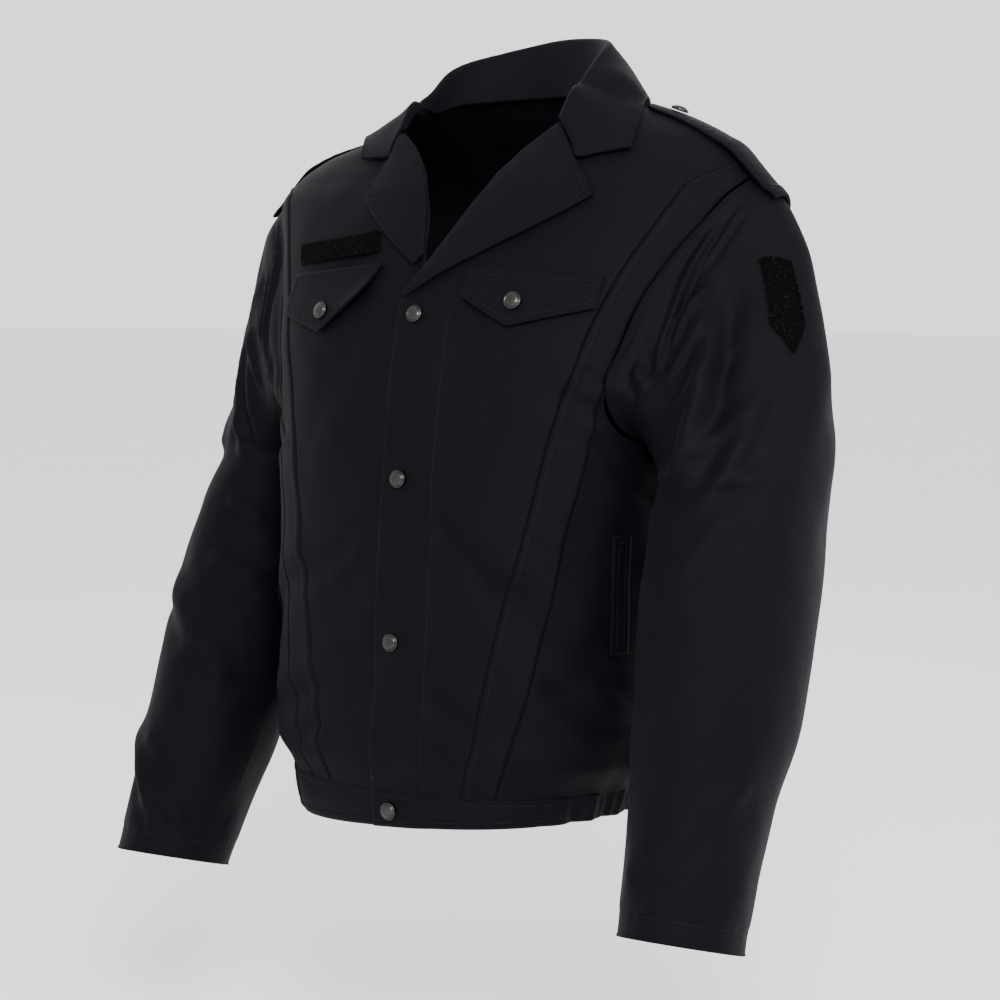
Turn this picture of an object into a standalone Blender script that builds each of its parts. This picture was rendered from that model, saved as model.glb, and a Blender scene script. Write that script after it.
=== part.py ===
"""Short uniform jacket of navy twill, as worn and hollow.

Metres, +Z up. The wearer's left is +X and the front is -Y. The origin lies midway between the
shoulders, where the wearer carries the jacket.
"""

import math

import bpy
import numpy as np
from mathutils import Vector

# Cloth and seams
CLOTH = 0.0018
DOUBLE_CLOTH = 0.0024
SEAM_GAP = 0.0003
SEAM_DIP = 0.0005
SEAM_TURN_IN = 0.0025

SIDE_COLUMNS = 10

# Closing: the wearer's left front lies over the right one
LAP_OVER = 0.017
LAP_UNDER = 0.020
LAP_LIFT = 0.0023
LAP_FADE = 0.026

# Heights
NECK_FRONT_TOP = 0.0455
NECK_SIDE = 0.0475
NECK_BACK = 0.050
SHOULDER_TIP = -0.034
STRIP_TOP = -0.0235
ARMHOLE_CORNER = -0.190
BAND_TOP = -0.505
BAND_DEPTH = 0.0305
BAND_SLANT = 0.06
BREAK_POINT = -0.122

# Snaps and trims
SNAP_RADIUS = 0.0072
SNAP_HEIGHT = 0.0040
FRONT_SNAP_FIRST = -0.135
FRONT_SNAP_STEP = 0.1275
STRAP_WIDTH = 0.042
STRAP_THICKNESS = 0.0026
STRAP_CENTRE_Y = 0.034
STRAP_LIFTS = (0.0032, 0.0034, 0.0034, 0.0028, 0.0018, 0.001, 0.001, 0.001, 0.001, 0.001)
LEFT_RISE = 0.008
RIGHT_DROP = 0.014
STRAP_SNAP_X = 0.150
SNAP_SIDES = 12
WAIST_SNAP_HEIGHT = -0.5225
PILE_THICKNESS = 0.0018
STRIP_CLEAR = 0.0005
PATCH_CLEAR = 0.0010
LAPEL_STAND = 0.0022
LAPEL_ACROSS = np.array([0.0, 0.08, 0.22, 0.4, 0.58, 0.79, 1.0])
LAPEL_NOTCH_SHARE = 0.58
COLLAR_END_PLACES = (0.0, 0.2, 0.6, 1.0, 1.5, 2.0)
COLLAR_STATIONS = 29
COLLAR_FOLD = 0.0075
COLLAR_SWELL = (0.004, 0.0005)
COLLAR_CLEAR = 0.0022
FLAP_SLACK = 0.006
BAND_REACH = 0.143
BAND_LAP_END = 17.0
BAND_LAP_FADE = 9.0

# Elastic of the waistband: waves from the front end to the back end of each side
GATHER_FROM = 42.0
GATHER_TO = 150.0
GATHER_WAVES = 10
GATHER_DEPTH = 0.0016

# Body sections: height, half_width, front_depth, back_depth, centre_y, squareness
BODY_ROWS = (
    (0.048, 0.082, 0.052, 0.056, 0.020, 2.0),
    (0.020, 0.142, 0.062, 0.068, 0.024, 2.0),
    (0.000, 0.186, 0.074, 0.082, 0.026, 2.0),
    (-0.020, 0.213, 0.087, 0.092, 0.027, 2.1),
    (-0.040, 0.226, 0.098, 0.099, 0.026, 2.25),
    (-0.090, 0.206, 0.114, 0.108, 0.018, 2.6),
    (-0.150, 0.193, 0.126, 0.114, 0.006, 2.7),
    (-0.240, 0.178, 0.132, 0.116, -0.004, 2.8),
    (-0.350, 0.172, 0.136, 0.114, -0.010, 2.8),
    (-0.450, 0.173, 0.142, 0.116, -0.012, 2.7),
    (-0.480, 0.173, 0.145, 0.117, -0.012, 2.6),
    (-0.505, 0.158, 0.142, 0.108, -0.012, 2.5),
    (-0.540, 0.148, 0.140, 0.101, -0.012, 2.5),
)

# Seam lines of the front on the body: height, turn in degrees from the centre front
CHEST_SEAM_ROWS = (
    (-0.0215, 89.9),
    (-0.0265, 80.0),
    (-0.0325, 75.0),
    (-0.0515, 70.0),
    (-0.079, 65.0),
    (-0.105, 60.6),
    (-0.140, 56.0),
    (-0.220, 48.0),
    (-0.280, 43.5),
    (-0.400, 33.0),
    (-0.480, 27.0),
    (-0.505, 25.0),
)
SIDE_SEAM_ROWS = (
    (-0.190, 59.5),
    (-0.250, 56.5),
    (-0.295, 53.0),
    (-0.350, 49.5),
    (-0.4275, 43.0),
    (-0.4775, 37.5),
    (-0.505, 35.0),
)
BACK_SEAM_ROWS = (
    (-0.190, 114.0),
    (-0.300, 116.0),
    (-0.505, 118.0),
)

# Armhole on the body, from the shoulder tip round the front: turn in degrees, height
ARMHOLE_ROWS = (
    (90.0, -0.0340),
    (81.5, -0.0425),
    (75.5, -0.0690),
    (70.0, -0.0980),
    (66.0, -0.1230),
    (62.5, -0.1580),
    (59.5, -0.1900),
    (65.0, -0.2200),
    (77.0, -0.2370),
    (90.0, -0.2420),
    (102.0, -0.2360),
    (111.0, -0.2160),
    (114.0, -0.1900),
    (113.0, -0.1500),
    (110.0, -0.1100),
    (105.0, -0.0710),
    (98.0, -0.0450),
)
ARMHOLE_FRONT_CORNER = 6
ARMHOLE_BACK_CORNER = 12

# Fold line of each lapel, from the break point up round the neck: height, turn in degrees
ROLL_LEFT_ROWS = (
    (-0.122, -7.5),
    (-0.105, -3.5),
    (-0.0925, 1.8),
    (-0.060, 12.0),
    (-0.025, 25.0),
    (-0.001, 41.0),
    (0.0162, 55.5),
    (0.028, 61.0),
    (0.036, 66.0),
    (0.044, 76.0),
    (0.0475, 86.0),
)
ROLL_RIGHT_ROWS = (
    (-0.122, -7.5),
    (-0.105, -3.5),
    (-0.0925, 1.8),
    (-0.0575, 7.0),
    (-0.024, 17.0),
    (0.000, 34.0),
    (0.0162, 51.0),
    (0.028, 60.0),
    (0.036, 66.0),
    (0.044, 76.0),
    (0.0475, 86.0),
)

# Lapel, from the break point to the gorge: roll_height, edge_turn, edge_height
LAPEL_LEFT_ROWS = (
    (-0.1190, -6.0, -0.1225),
    (-0.0960, 7.0, -0.1050),
    (-0.0710, 24.0, -0.0860),
    (-0.0460, 36.0, -0.0730),
    (-0.0240, 46.5, -0.0595),
    (-0.0060, 52.0, -0.0510),
    (0.0060, 54.5, -0.0465),
)
LAPEL_RIGHT_ROWS = (
    (-0.0880, 6.5, -0.0960),
    (-0.0710, 14.0, -0.0860),
    (-0.0500, 23.0, -0.0735),
    (-0.0280, 31.0, -0.0605),
    (-0.0090, 37.0, -0.0500),
    (0.0050, 39.5, -0.0445),
)

# Corners at the top: the lapel's gorge, notch and point, and the collar's gorge, notch and point
LAPEL_LEFT_TOP = ((55.5, 0.0162), (54.8, -0.0150), (56.2, -0.0438))
LAPEL_RIGHT_TOP = ((51.0, 0.0150), (44.5, -0.0075), (40.8, -0.0413))
COLLAR_LEFT_FRONT = ((56.2, 0.0176), (55.5, -0.0138), (69.0, -0.0075))
COLLAR_RIGHT_FRONT = ((51.7, 0.0164), (45.4, -0.0064), (59.0, -0.0050))

# Collar, from beside the gorge to the centre back: seam, crest and edge points of each half
COLLAR_LEFT_ROWS = (
    ((0.0786, 0.0000, 0.0410), (0.0785, 0.0000, 0.0470), (0.1345, 0.0040, 0.0180)),
    ((0.0780, 0.0230, 0.0430), (0.0785, 0.0232, 0.0680), (0.1200, 0.0340, 0.0380)),
    ((0.0675, 0.0450, 0.0445), (0.0740, 0.0500, 0.0860), (0.1030, 0.0680, 0.0300)),
    ((0.0420, 0.0625, 0.0455), (0.0460, 0.0780, 0.0925), (0.0620, 0.0970, 0.0280)),
    ((0.0000, 0.0715, 0.0460), (0.0000, 0.0880, 0.0945), (0.0000, 0.1060, 0.0270)),
)
COLLAR_RIGHT_ROWS = (
    ((0.0768, -0.0010, 0.0360), (0.0772, -0.0010, 0.0385), (0.1290, 0.0040, 0.0140)),
    ((0.0772, 0.0230, 0.0345), (0.0785, 0.0232, 0.0510), (0.1170, 0.0340, 0.0210)),
    ((0.0675, 0.0450, 0.0415), (0.0740, 0.0500, 0.0720), (0.1020, 0.0680, 0.0230)),
    ((0.0420, 0.0625, 0.0445), (0.0460, 0.0780, 0.0860), (0.0620, 0.0970, 0.0270)),
)

# Left sleeve: height, centre_x, centre_y, radius_x, radius_y
SLEEVE_LEFT_ROWS = (
    (-0.262, 0.246, -0.030, 0.062, 0.080),
    (-0.300, 0.248, -0.046, 0.063, 0.084),
    (-0.350, 0.250, -0.062, 0.064, 0.082),
    (-0.430, 0.253, -0.086, 0.060, 0.073),
    (-0.500, 0.252, -0.110, 0.052, 0.058),
    (-0.560, 0.252, -0.130, 0.048, 0.052),
    (-0.595, 0.252, -0.140, 0.047, 0.050),
)
SLEEVE_RIGHT_ROWS = (
    (-0.262, 0.237, 0.034, 0.055, 0.080),
    (-0.300, 0.248, 0.020, 0.057, 0.079),
    (-0.385, 0.250, -0.016, 0.062, 0.077),
    (-0.455, 0.247, -0.054, 0.058, 0.068),
    (-0.510, 0.250, -0.080, 0.054, 0.061),
    (-0.560, 0.252, -0.103, 0.048, 0.052),
    (-0.600, 0.254, -0.121, 0.046, 0.049),
)
CUFF_SLANT = 0.30

# How far the cap bulges past the armhole: everywhere, more on the outer side, more at the rear
SLEEVE_LEFT_FULLNESS = (0.80, 0.02, 0.0)
SLEEVE_RIGHT_FULLNESS = (0.80, -0.08, 0.2)

# Creases of the torso: turn, height to turn, height; width and depth in metres
TORSO_CREASES = (
    (14.0, -0.425, 30.0, -0.462, 0.014, 0.0030),
    (36.0, -0.345, 62.0, -0.420, 0.020, 0.0045),
    (62.0, -0.205, 84.0, -0.275, 0.014, 0.0040),
    (48.0, -0.190, 60.0, -0.215, 0.010, 0.0030),
    (10.0, -0.290, 42.0, -0.360, 0.024, 0.0022),
    (-20.0, -0.420, -62.0, -0.470, 0.012, 0.0030),
    (-62.0, -0.205, -84.0, -0.275, 0.014, 0.0040),
    (-40.0, -0.340, -74.0, -0.410, 0.016, 0.0030),
    (118.0, -0.200, 150.0, -0.290, 0.018, 0.0040),
    (-118.0, -0.200, -150.0, -0.290, 0.018, 0.0040),
    (135.0, -0.420, 170.0, -0.475, 0.014, 0.0040),
    (-130.0, -0.410, -168.0, -0.480, 0.014, 0.0040),
    (150.0, -0.120, 205.0, -0.135, 0.020, 0.0030),
)

# Creases of a sleeve: around in degrees from the outer side to the front, along 0 to 2
# (1 is where the cap ends, 2 the cuff), then the far end, width and depth in metres
SLEEVE_LEFT_CREASES = (
    (64.0, 0.16, 108.0, 1.02, 0.012, 0.0065),
    (60.0, 0.30, 118.0, 0.96, 0.008, 0.0045),
    (48.0, 0.66, 84.0, 1.06, 0.009, 0.0040),
    (62.0, 1.02, 98.0, 1.22, 0.010, 0.0030),
    (-60.0, 0.30, -110.0, 0.95, 0.010, 0.0050),
    (-35.0, 0.35, -80.0, 0.85, 0.010, 0.0035),
    (-60.0, 1.45, -130.0, 1.60, 0.012, 0.0035),
    (60.0, 1.78, 130.0, 1.88, 0.010, 0.0030),
    (-40.0, 1.70, -100.0, 1.85, 0.010, 0.0025),
)
SLEEVE_RIGHT_CREASES = (
    (40.0, 0.20, 96.0, 0.98, 0.010, 0.0055),
    (66.0, 0.35, 118.0, 0.92, 0.008, 0.0040),
    (10.0, 0.75, 50.0, 0.95, 0.008, 0.0045),
    (-60.0, 0.30, -110.0, 0.95, 0.010, 0.0050),
    (50.0, 1.35, 110.0, 1.50, 0.012, 0.0035),
    (30.0, 1.70, 96.0, 1.88, 0.010, 0.0045),
    (60.0, 1.80, 110.0, 1.95, 0.008, 0.0035),
    (-50.0, 1.60, -110.0, 1.75, 0.010, 0.0030),
)

# Trims on the body: turn in degrees and height of each corner
FLAP_LEFT = ((20.0, -0.0985), (58.0, -0.1050), (56.5, -0.1300), (35.0, -0.1440), (18.0, -0.1210))
FLAP_RIGHT = ((-21.5, -0.0945), (-56.0, -0.1020), (-57.0, -0.1350), (-39.0, -0.1500), (-25.0, -0.1190))
FLAP_LEFT_SNAP = (36.3, -0.1255)
FLAP_RIGHT_SNAP = (-39.5, -0.1330)
NAME_STRIP = ((-58.5, -0.0770), (-28.5, -0.0672), (-25.3, -0.0850), (-56.0, -0.0945))
ARM_PATCH = ((16.5, 0.325), (33.0, 0.255), (38.5, 0.470), (27.0, 0.590), (17.5, 0.530))
WELT_FRONT = 64.5
WELT_TOP = -0.303
WELT_BOTTOM = -0.395
WELT_WIDTH = 0.018

# Colours, linear
TWILL = (0.006, 0.006, 0.011, 1.0)
PILE = (0.004, 0.004, 0.004, 1.0)
GUNMETAL = (0.32, 0.32, 0.34, 1.0)


def smooth_table(rows, at):
    """Columns of a table at a value of its first column: a cubic that keeps rises monotone."""
    table = np.array(sorted(rows), float)
    knots, values = table[:, 0], table[:, 1:]
    steps = np.diff(knots)[:, None]
    slopes = np.diff(values, axis=0) / steps
    tangents = np.zeros_like(values)
    same = slopes[:-1] * slopes[1:] > 0
    total = np.where(same, slopes[:-1] + slopes[1:], 1.0)
    tangents[1:-1] = np.where(same, 2 * slopes[:-1] * slopes[1:] / total, 0.0)
    tangents[0], tangents[-1] = slopes[0], slopes[-1]
    at = np.clip(np.asarray(at, float), knots[0], knots[-1])
    low = np.clip(np.searchsorted(knots, at) - 1, 0, len(knots) - 2)
    span = (knots[low + 1] - knots[low])[..., None]
    t = (at - knots[low])[..., None] / span
    return (
        values[low] * (1 + 2 * t) * (1 - t) ** 2
        + values[low + 1] * t**2 * (3 - 2 * t)
        + span * tangents[low] * t * (1 - t) ** 2
        + span * tangents[low + 1] * t**2 * (t - 1)
    )


def smooth_step(value):
    value = np.clip(value, 0.0, 1.0)
    return value * value * (3 - 2 * value)


def unit(vectors):
    return vectors / np.linalg.norm(vectors, axis=-1, keepdims=True)


def crease(u, v, ends, width):
    """Soft trough along a line in a flat (u, v) map in metres, fading at both ends."""
    start, end = np.array(ends[0]), np.array(ends[1])
    along = end - start
    length = np.hypot(*along)
    along = along / length
    du, dv = u - start[0], v - start[1]
    forward = (du * along[0] + dv * along[1]) / length
    across = -du * along[1] + dv * along[0]
    fade = smooth_step(forward / 0.3 + 0.3) * smooth_step((1 - forward) / 0.3 + 0.3)
    return np.exp(-((across / width) ** 2)) * fade


def torso_relief(turn, height):
    """Outward move of the torso's cloth: creases, and the cloth that blouses over the band."""
    girth = 0.15
    degrees = (np.degrees(turn) + 180) % 360 - 180
    relief = np.zeros_like(turn)
    for first, low, last, high, width, depth in TORSO_CREASES:
        ends = ((math.radians(first) * girth, low), (math.radians(last) * girth, high))
        wrapped = degrees + np.where((last > 180) & (degrees < 0), 360, 0)
        relief -= depth * crease(np.radians(wrapped) * girth, height, ends, width)
        relief += 0.6 * depth * crease(np.radians(wrapped) * girth, height - 1.6 * width, ends, width)
    return relief


def section_reach(turn, height):
    """Distance from the axis and the section's centre: a rounded shape, unlike front and back."""
    width, front, back, centre_y, square = np.moveaxis(smooth_table(BODY_ROWS, height), -1, 0)
    ahead, aside = np.cos(turn), np.sin(turn)
    depth = np.where(ahead > 0, front, back)
    reach = (np.abs(ahead / depth) ** square + np.abs(aside / width) ** square) ** (-1 / square)
    return reach, centre_y


def shoulder_shift(x, y, height):
    """The left shoulder sits higher along its top, and the right one lower beside the neck."""
    offset = np.abs(y - STRAP_CENTRE_Y)
    rise = LEFT_RISE * smooth_step((x - 0.09) / 0.07) * np.exp(-((offset / 0.035) ** 2))
    drop = RIGHT_DROP * smooth_step((-x - 0.058) / 0.030) * smooth_step((0.215 + x) / 0.10)
    drop = drop * np.exp(-((offset / 0.060) ** 2))
    return (rise - drop) * smooth_step((height + 0.16) / 0.10)


def body_plain(turn, height, relief=0.0):
    """Point of the torso at a turn from the centre front and a height."""
    turn, height = np.broadcast_arrays(np.asarray(turn, float), np.asarray(height, float))
    reach, centre_y = section_reach(turn, height)
    reach = reach + relief
    x, y = reach * np.sin(turn), centre_y - reach * np.cos(turn)
    return np.stack([x, y, height + shoulder_shift(x, y, height)], -1)


def body_normal(turn, height):
    """Outward normal of the plain torso section, the same for every piece that meets there."""
    step = 1e-3
    across = body_plain(turn + step, height) - body_plain(turn - step, height)
    upward = body_plain(turn, height + step) - body_plain(turn, height - step)
    return unit(np.cross(across, upward))


def body(turn, height, lift=0.0):
    """Point of the torso's cloth, creases included, moved out by a lift."""
    turn, height = np.broadcast_arrays(np.asarray(turn, float), np.asarray(height, float))
    points = body_plain(turn, height, torso_relief(turn, height))
    return points + np.asarray(lift)[..., None] * body_normal(turn, height)


def closed_loop(rows, around):
    """Smooth closed curve through the rows, at a share of the whole loop from 0 to 1."""
    knots = np.array(rows, float)
    count = len(knots)
    place = np.asarray(around, float) * count
    low = np.floor(place).astype(int)
    t = (place - low)[..., None]
    a, b, c, d = (knots[(low + k) % count] for k in (-1, 0, 1, 2))
    return 0.5 * (2 * b + (c - a) * t + (2 * a - 5 * b + 4 * c - d) * t**2 + (3 * b - a - 3 * c + d) * t**3)


def armhole_shares(heights, back):
    """Shares of the armhole's loop where its front or its back edge has these heights."""
    last = ARMHOLE_BACK_CORNER if back else ARMHOLE_FRONT_CORNER
    count = len(ARMHOLE_ROWS)
    shares = np.linspace(last, count, 200) / count if back else np.linspace(0, last, 200) / count
    edge = closed_loop(ARMHOLE_ROWS, shares)
    order = np.argsort(edge[:, 1])
    return np.interp(heights, edge[order, 1], shares[order])


def armhole_turn(heights, back):
    """Turn of the front or the back edge of the armhole at a height, in degrees."""
    return closed_loop(ARMHOLE_ROWS, armhole_shares(heights, back))[..., 0]


def side_shares():
    """Shares of the underarm curve where the side panel's columns end."""
    shares = np.linspace(0, 1, SIDE_COLUMNS)
    return np.concatenate([[0, 0.03], shares[1:-1], [0.97, 1]])


def armhole_columns():
    """Shares of the loop where the panels' rows and columns end, which the sleeve meets."""
    rows = torso_heights(SHOULDER_TIP)
    rows = rows[rows > ARMHOLE_CORNER + 1e-6]
    count = len(ARMHOLE_ROWS)
    under = (ARMHOLE_FRONT_CORNER + (ARMHOLE_BACK_CORNER - ARMHOLE_FRONT_CORNER) * side_shares()) / count
    shares = np.concatenate([armhole_shares(rows, False), under, armhole_shares(rows, True)])
    return np.unique(np.round(shares % 1.0, 9))


def material(name, colour, roughness, metallic):
    """Principled material with one colour, roughness and metallic value."""
    made = bpy.data.materials.get(name) or bpy.data.materials.new(name)
    made.use_nodes = True
    shader = made.node_tree.nodes["Principled BSDF"]
    shader.inputs["Base Color"].default_value = colour
    shader.inputs["Roughness"].default_value = roughness
    shader.inputs["Metallic"].default_value = metallic
    made.diffuse_color = colour
    return made


def cloth(name, points, thickness=CLOTH, closed=False, look="twill"):
    """Open grid of points, columns running round and rows running up, with a wall inside it."""
    columns, rows = points.shape[:2]
    index = np.arange(columns * rows).reshape(columns, rows)
    following = np.roll(index, -1, axis=0)
    if not closed:
        index, following = index[:-1], following[:-1]
    quads = np.stack([index[:, :-1], following[:, :-1], following[:, 1:], index[:, 1:]], -1)
    mesh = bpy.data.meshes.new(name)
    mesh.from_pydata(points.reshape(-1, 3).tolist(), [], quads.reshape(-1, 4).tolist())
    mesh.validate()
    mesh.update()
    piece = bpy.data.objects.new(name, mesh)
    parts.objects.link(piece)
    colour, roughness = (PILE, 0.95) if look == "pile" else (TWILL, 0.75)
    mesh.materials.append(material(name, colour, roughness, 0.0))
    mesh.shade_smooth()
    wall = piece.modifiers.new("wall", "SOLIDIFY")
    wall.thickness = thickness
    wall.offset = -1
    return piece


def seam_columns(width, count):
    """Shares across a panel, with a narrow turned-in strip at each edge."""
    edge = SEAM_TURN_IN / width
    return np.concatenate([[0.0], np.linspace(edge, 1 - edge, count - 1), [1.0]])


def panel(name, from_turn, to_turn, heights, width, count, lift=None, raise_top=None):
    """Panel of the torso between two seam lines, given in degrees at each height."""
    shares = seam_columns(width, count)[:, None]
    trim = math.degrees(SEAM_GAP / 2 / 0.15)
    start, end = from_turn + trim, to_turn - trim
    turn = np.radians(start + (end - start) * shares)
    height = np.broadcast_to(heights, turn.shape)
    if raise_top is not None:
        height = height + raise_top(turn, height)
    dip = np.where((shares == 0) | (shares == 1), -SEAM_DIP, 0.0) * np.ones_like(turn)
    if lift is not None:
        dip = dip * (lift(turn, height) < LAP_LIFT / 2) + lift(turn, height)
    return cloth(name, body(turn, height, dip))


def torso_heights(top):
    """Heights of the rows of a panel, closer together where the shoulder slopes."""
    rows = np.concatenate([
        np.linspace(BAND_TOP + SEAM_GAP / 2, -0.470, 3),
        np.linspace(-0.445, -0.215, 9),
        np.linspace(-0.190, -0.090, 5),
        (-0.074, -0.060, -0.050, -0.043, -0.038, SHOULDER_TIP),
        (-0.029, STRIP_TOP, -0.014, -0.004, 0.006, 0.016, 0.026, 0.036),
        (NECK_FRONT_TOP, NECK_SIDE),
    ])
    return rows[rows <= top + 1e-6]


def seam_turn(rows, heights):
    return smooth_table(rows, heights)[:, 0]


def front_center(side):
    """Centre front: from the closing edge and the lapel's fold line to the chest seam."""
    heights = torso_heights(NECK_FRONT_TOP)
    lap = LAP_OVER if side > 0 else LAP_UNDER
    section = smooth_table(BODY_ROWS, heights)
    closing = -np.degrees(np.arcsin(lap / section[:, 1]))
    fold = seam_turn(ROLL_LEFT_ROWS if side > 0 else ROLL_RIGHT_ROWS, heights)
    start = np.where(heights < BREAK_POINT, closing, np.maximum(fold, closing))
    seam = np.where(heights < CHEST_SEAM_ROWS[0][0], seam_turn(CHEST_SEAM_ROWS, heights), 89.9)

    def lift(turn, height):
        aside = body(turn, height)[..., 0]
        return LAP_LIFT * smooth_step((LAP_UNDER + LAP_FADE - aside) / LAP_FADE)

    if side > 0:
        return panel("front_center_left", start, seam, heights, 0.11, 8, lift)
    return panel("front_center_right", -seam, -start, heights, 0.11, 8)


def front_strip(side):
    """Narrow strip between the chest seam and the armhole, down to the side seam line."""
    heights = torso_heights(STRIP_TOP)
    start = seam_turn(CHEST_SEAM_ROWS, heights)
    end = np.where(heights < ARMHOLE_CORNER, seam_turn(SIDE_SEAM_ROWS, heights), armhole_turn(heights, False))
    end = np.where(heights > SHOULDER_TIP, 89.9, end)
    if side > 0:
        return panel("front_strip_left", start, end, heights, 0.03, 4)
    return panel("front_strip_right", -end, -start, heights, 0.03, 4)


def side_panel(side):
    """Panel under the arm: its top edge is the lower half of the armhole."""
    count = len(ARMHOLE_ROWS)
    corner = ARMHOLE_FRONT_CORNER + (ARMHOLE_BACK_CORNER - ARMHOLE_FRONT_CORNER) * side_shares()
    rim = closed_loop(ARMHOLE_ROWS, corner / count)
    rows = np.concatenate([np.linspace(0, 1, 13)[:-1], [0.985, 1.0]])
    bottom = BAND_TOP + SEAM_GAP / 2
    height = bottom + (rim[:, 1:2] - bottom) * rows
    front = seam_turn(SIDE_SEAM_ROWS, np.minimum(height, ARMHOLE_CORNER).ravel()).reshape(height.shape)
    back = seam_turn(BACK_SEAM_ROWS, np.minimum(height, ARMHOLE_CORNER).ravel()).reshape(height.shape)
    trim = math.degrees(SEAM_GAP / 2 / 0.15)
    across = ((rim[:, 0] - rim[0, 0]) / (rim[-1, 0] - rim[0, 0]))[:, None]
    turn = np.radians(front + trim + (back - front - 2 * trim) * across)
    dip = np.where((across <= 0) | (across >= 1), -SEAM_DIP, 0.0) * np.ones_like(turn)
    dip[:, -1] = -SEAM_DIP
    if side < 0:
        turn, height, dip = -turn[::-1], height[::-1], dip[::-1]
    return cloth("side_left" if side > 0 else "side_right", body(turn, height, dip))


def back_panel():
    """Plain back in one piece, from side seam to side seam and up to the neck."""
    heights = torso_heights(NECK_SIDE)
    below = heights < ARMHOLE_CORNER
    start = np.where(below, seam_turn(BACK_SEAM_ROWS, heights), armhole_turn(heights, True))
    start = np.where(heights > SHOULDER_TIP, 90.1, start)

    def neck_rise(turn, height):
        rise = (NECK_BACK - NECK_SIDE) * np.sin((turn - math.pi / 2)) ** 2
        return rise * smooth_step(height / NECK_SIDE)

    return panel("back", start, 360 - start, heights, 0.40, 17, raise_top=neck_rise)


def sleeve_points(side, around, along):
    """Point of a sleeve: around runs from the outer side over the front, along is 0 at the
    armhole, 1 where the cap ends and 2 at the cuff. The cap is a cubic from the armhole's rim,
    leaving it outwards, to the first ring of the table."""
    rows = SLEEVE_LEFT_ROWS if side > 0 else SLEEVE_RIGHT_ROWS
    share = around / (2 * math.pi)
    loop = closed_loop(ARMHOLE_ROWS, share)
    ahead, behind = (closed_loop(ARMHOLE_ROWS, share + step) for step in (0.004, -0.004))
    mirror = np.array([side, 1.0, 1.0])
    rim, after, before = (
        body(side * np.radians(k[..., 0]), k[..., 1]) * mirror for k in (loop, ahead, behind)
    )
    out = body_normal(side * np.radians(loop[..., 0]), loop[..., 1]) * mirror
    run = after - before
    inward = unit(np.cross(out, run))
    top, bottom = rows[0][0], rows[-1][0]
    level = top + (bottom - top) * np.clip(along - 1, 0, 1)
    centre_x, centre_y, radius_x, radius_y = np.moveaxis(smooth_table(rows, level), -1, 0)
    slant = CUFF_SLANT * smooth_step((top - level) / (top - bottom))
    x = centre_x + radius_x * np.cos(around)
    y = centre_y - radius_y * np.sin(around)
    ring = np.stack([x, y, level - slant * (y - centre_y)], -1)
    outward = np.array([1.0, 0.0, 0.0])
    leave = unit(0.6 * inward + 0.8 * outward)
    t = np.clip(along, 0, 1)[..., None]
    start = rim + inward * 0.004
    reach = np.linalg.norm(ring - start, axis=-1, keepdims=True)
    down = np.array([0.0, -0.25, -1.0])
    plain, outer, rear = SLEEVE_LEFT_FULLNESS if side > 0 else SLEEVE_RIGHT_FULLNESS
    fullness = plain + outer * np.clip(np.cos(around), 0, 1) + rear * np.clip(-np.sin(around), 0, 1)
    cap = (
        start * (1 + 2 * t) * (1 - t) ** 2
        + ring * t**2 * (3 - 2 * t)
        + fullness[..., None] * reach * leave * t * (1 - t) ** 2
        + 0.8 * reach * down * t**2 * (t - 1)
    )
    return np.where((along <= 1)[..., None], cap, ring), rim, out, inward


def sleeve_relief(side, around, along):
    """Outward move of a sleeve's cloth along its creases."""
    rows = SLEEVE_LEFT_CREASES if side > 0 else SLEEVE_RIGHT_CREASES
    girth, arm = 0.068, 0.30
    angle = (around + math.pi) % (2 * math.pi) - math.pi
    relief = np.zeros_like(around)
    for first, low, last, high, width, depth in rows:
        ends = ((math.radians(first) * girth, low * arm), (math.radians(last) * girth, high * arm))
        relief -= depth * crease(angle * girth, along * arm, ends, width)
        relief += 0.7 * depth * crease(angle * girth + 1.7 * width, along * arm, ends, width)
    return relief


def sleeve_cloth(side, around, along):
    """Point of the sleeve's cloth, creases included, as on the wearer's left."""
    step = 0.01
    points = sleeve_points(side, around, along)[0]
    ahead = sleeve_points(side, (around + step) % (2 * math.pi), along)[0]
    below = sleeve_points(side, around, np.clip(along + step, 0, 2))[0]
    above = sleeve_points(side, around, np.clip(along - step, 0, 2))[0]
    normal = unit(np.cross(below - above, ahead - points))
    relief = sleeve_relief(side, around, along) * smooth_step(along / 0.25)
    return points + normal * relief[..., None]


def sleeve(side):
    """One-piece sleeve, from the armhole to an open cuff."""
    around = 2 * math.pi * armhole_columns()[:, None]
    along = np.concatenate([np.linspace(0, 1, 9), np.linspace(1, 2, 12)[1:]])[None, :]
    around, along = np.broadcast_arrays(around, along)
    _, rim, out, inward = sleeve_points(side, around, along)
    points = sleeve_cloth(side, around, along)
    near_tip = smooth_step(1 - np.abs((around[:, :1] + math.pi) % (2 * math.pi) - math.pi) / 0.8)[..., None]
    edge = rim[:, :1] + inward[:, :1] * (2 * SEAM_GAP + 0.0008 * near_tip)
    turned = rim[:, :1] + inward[:, :1] * SEAM_TURN_IN - out[:, :1] * SEAM_DIP
    points = np.concatenate([edge, turned, points[:, 1:]], axis=1)
    points = points[:, ::-1]
    if side > 0:
        points = points[::-1]
    else:
        points = points * np.array([-1.0, 1.0, 1.0])
    return cloth("sleeve_left" if side > 0 else "sleeve_right", points, closed=True)


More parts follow.
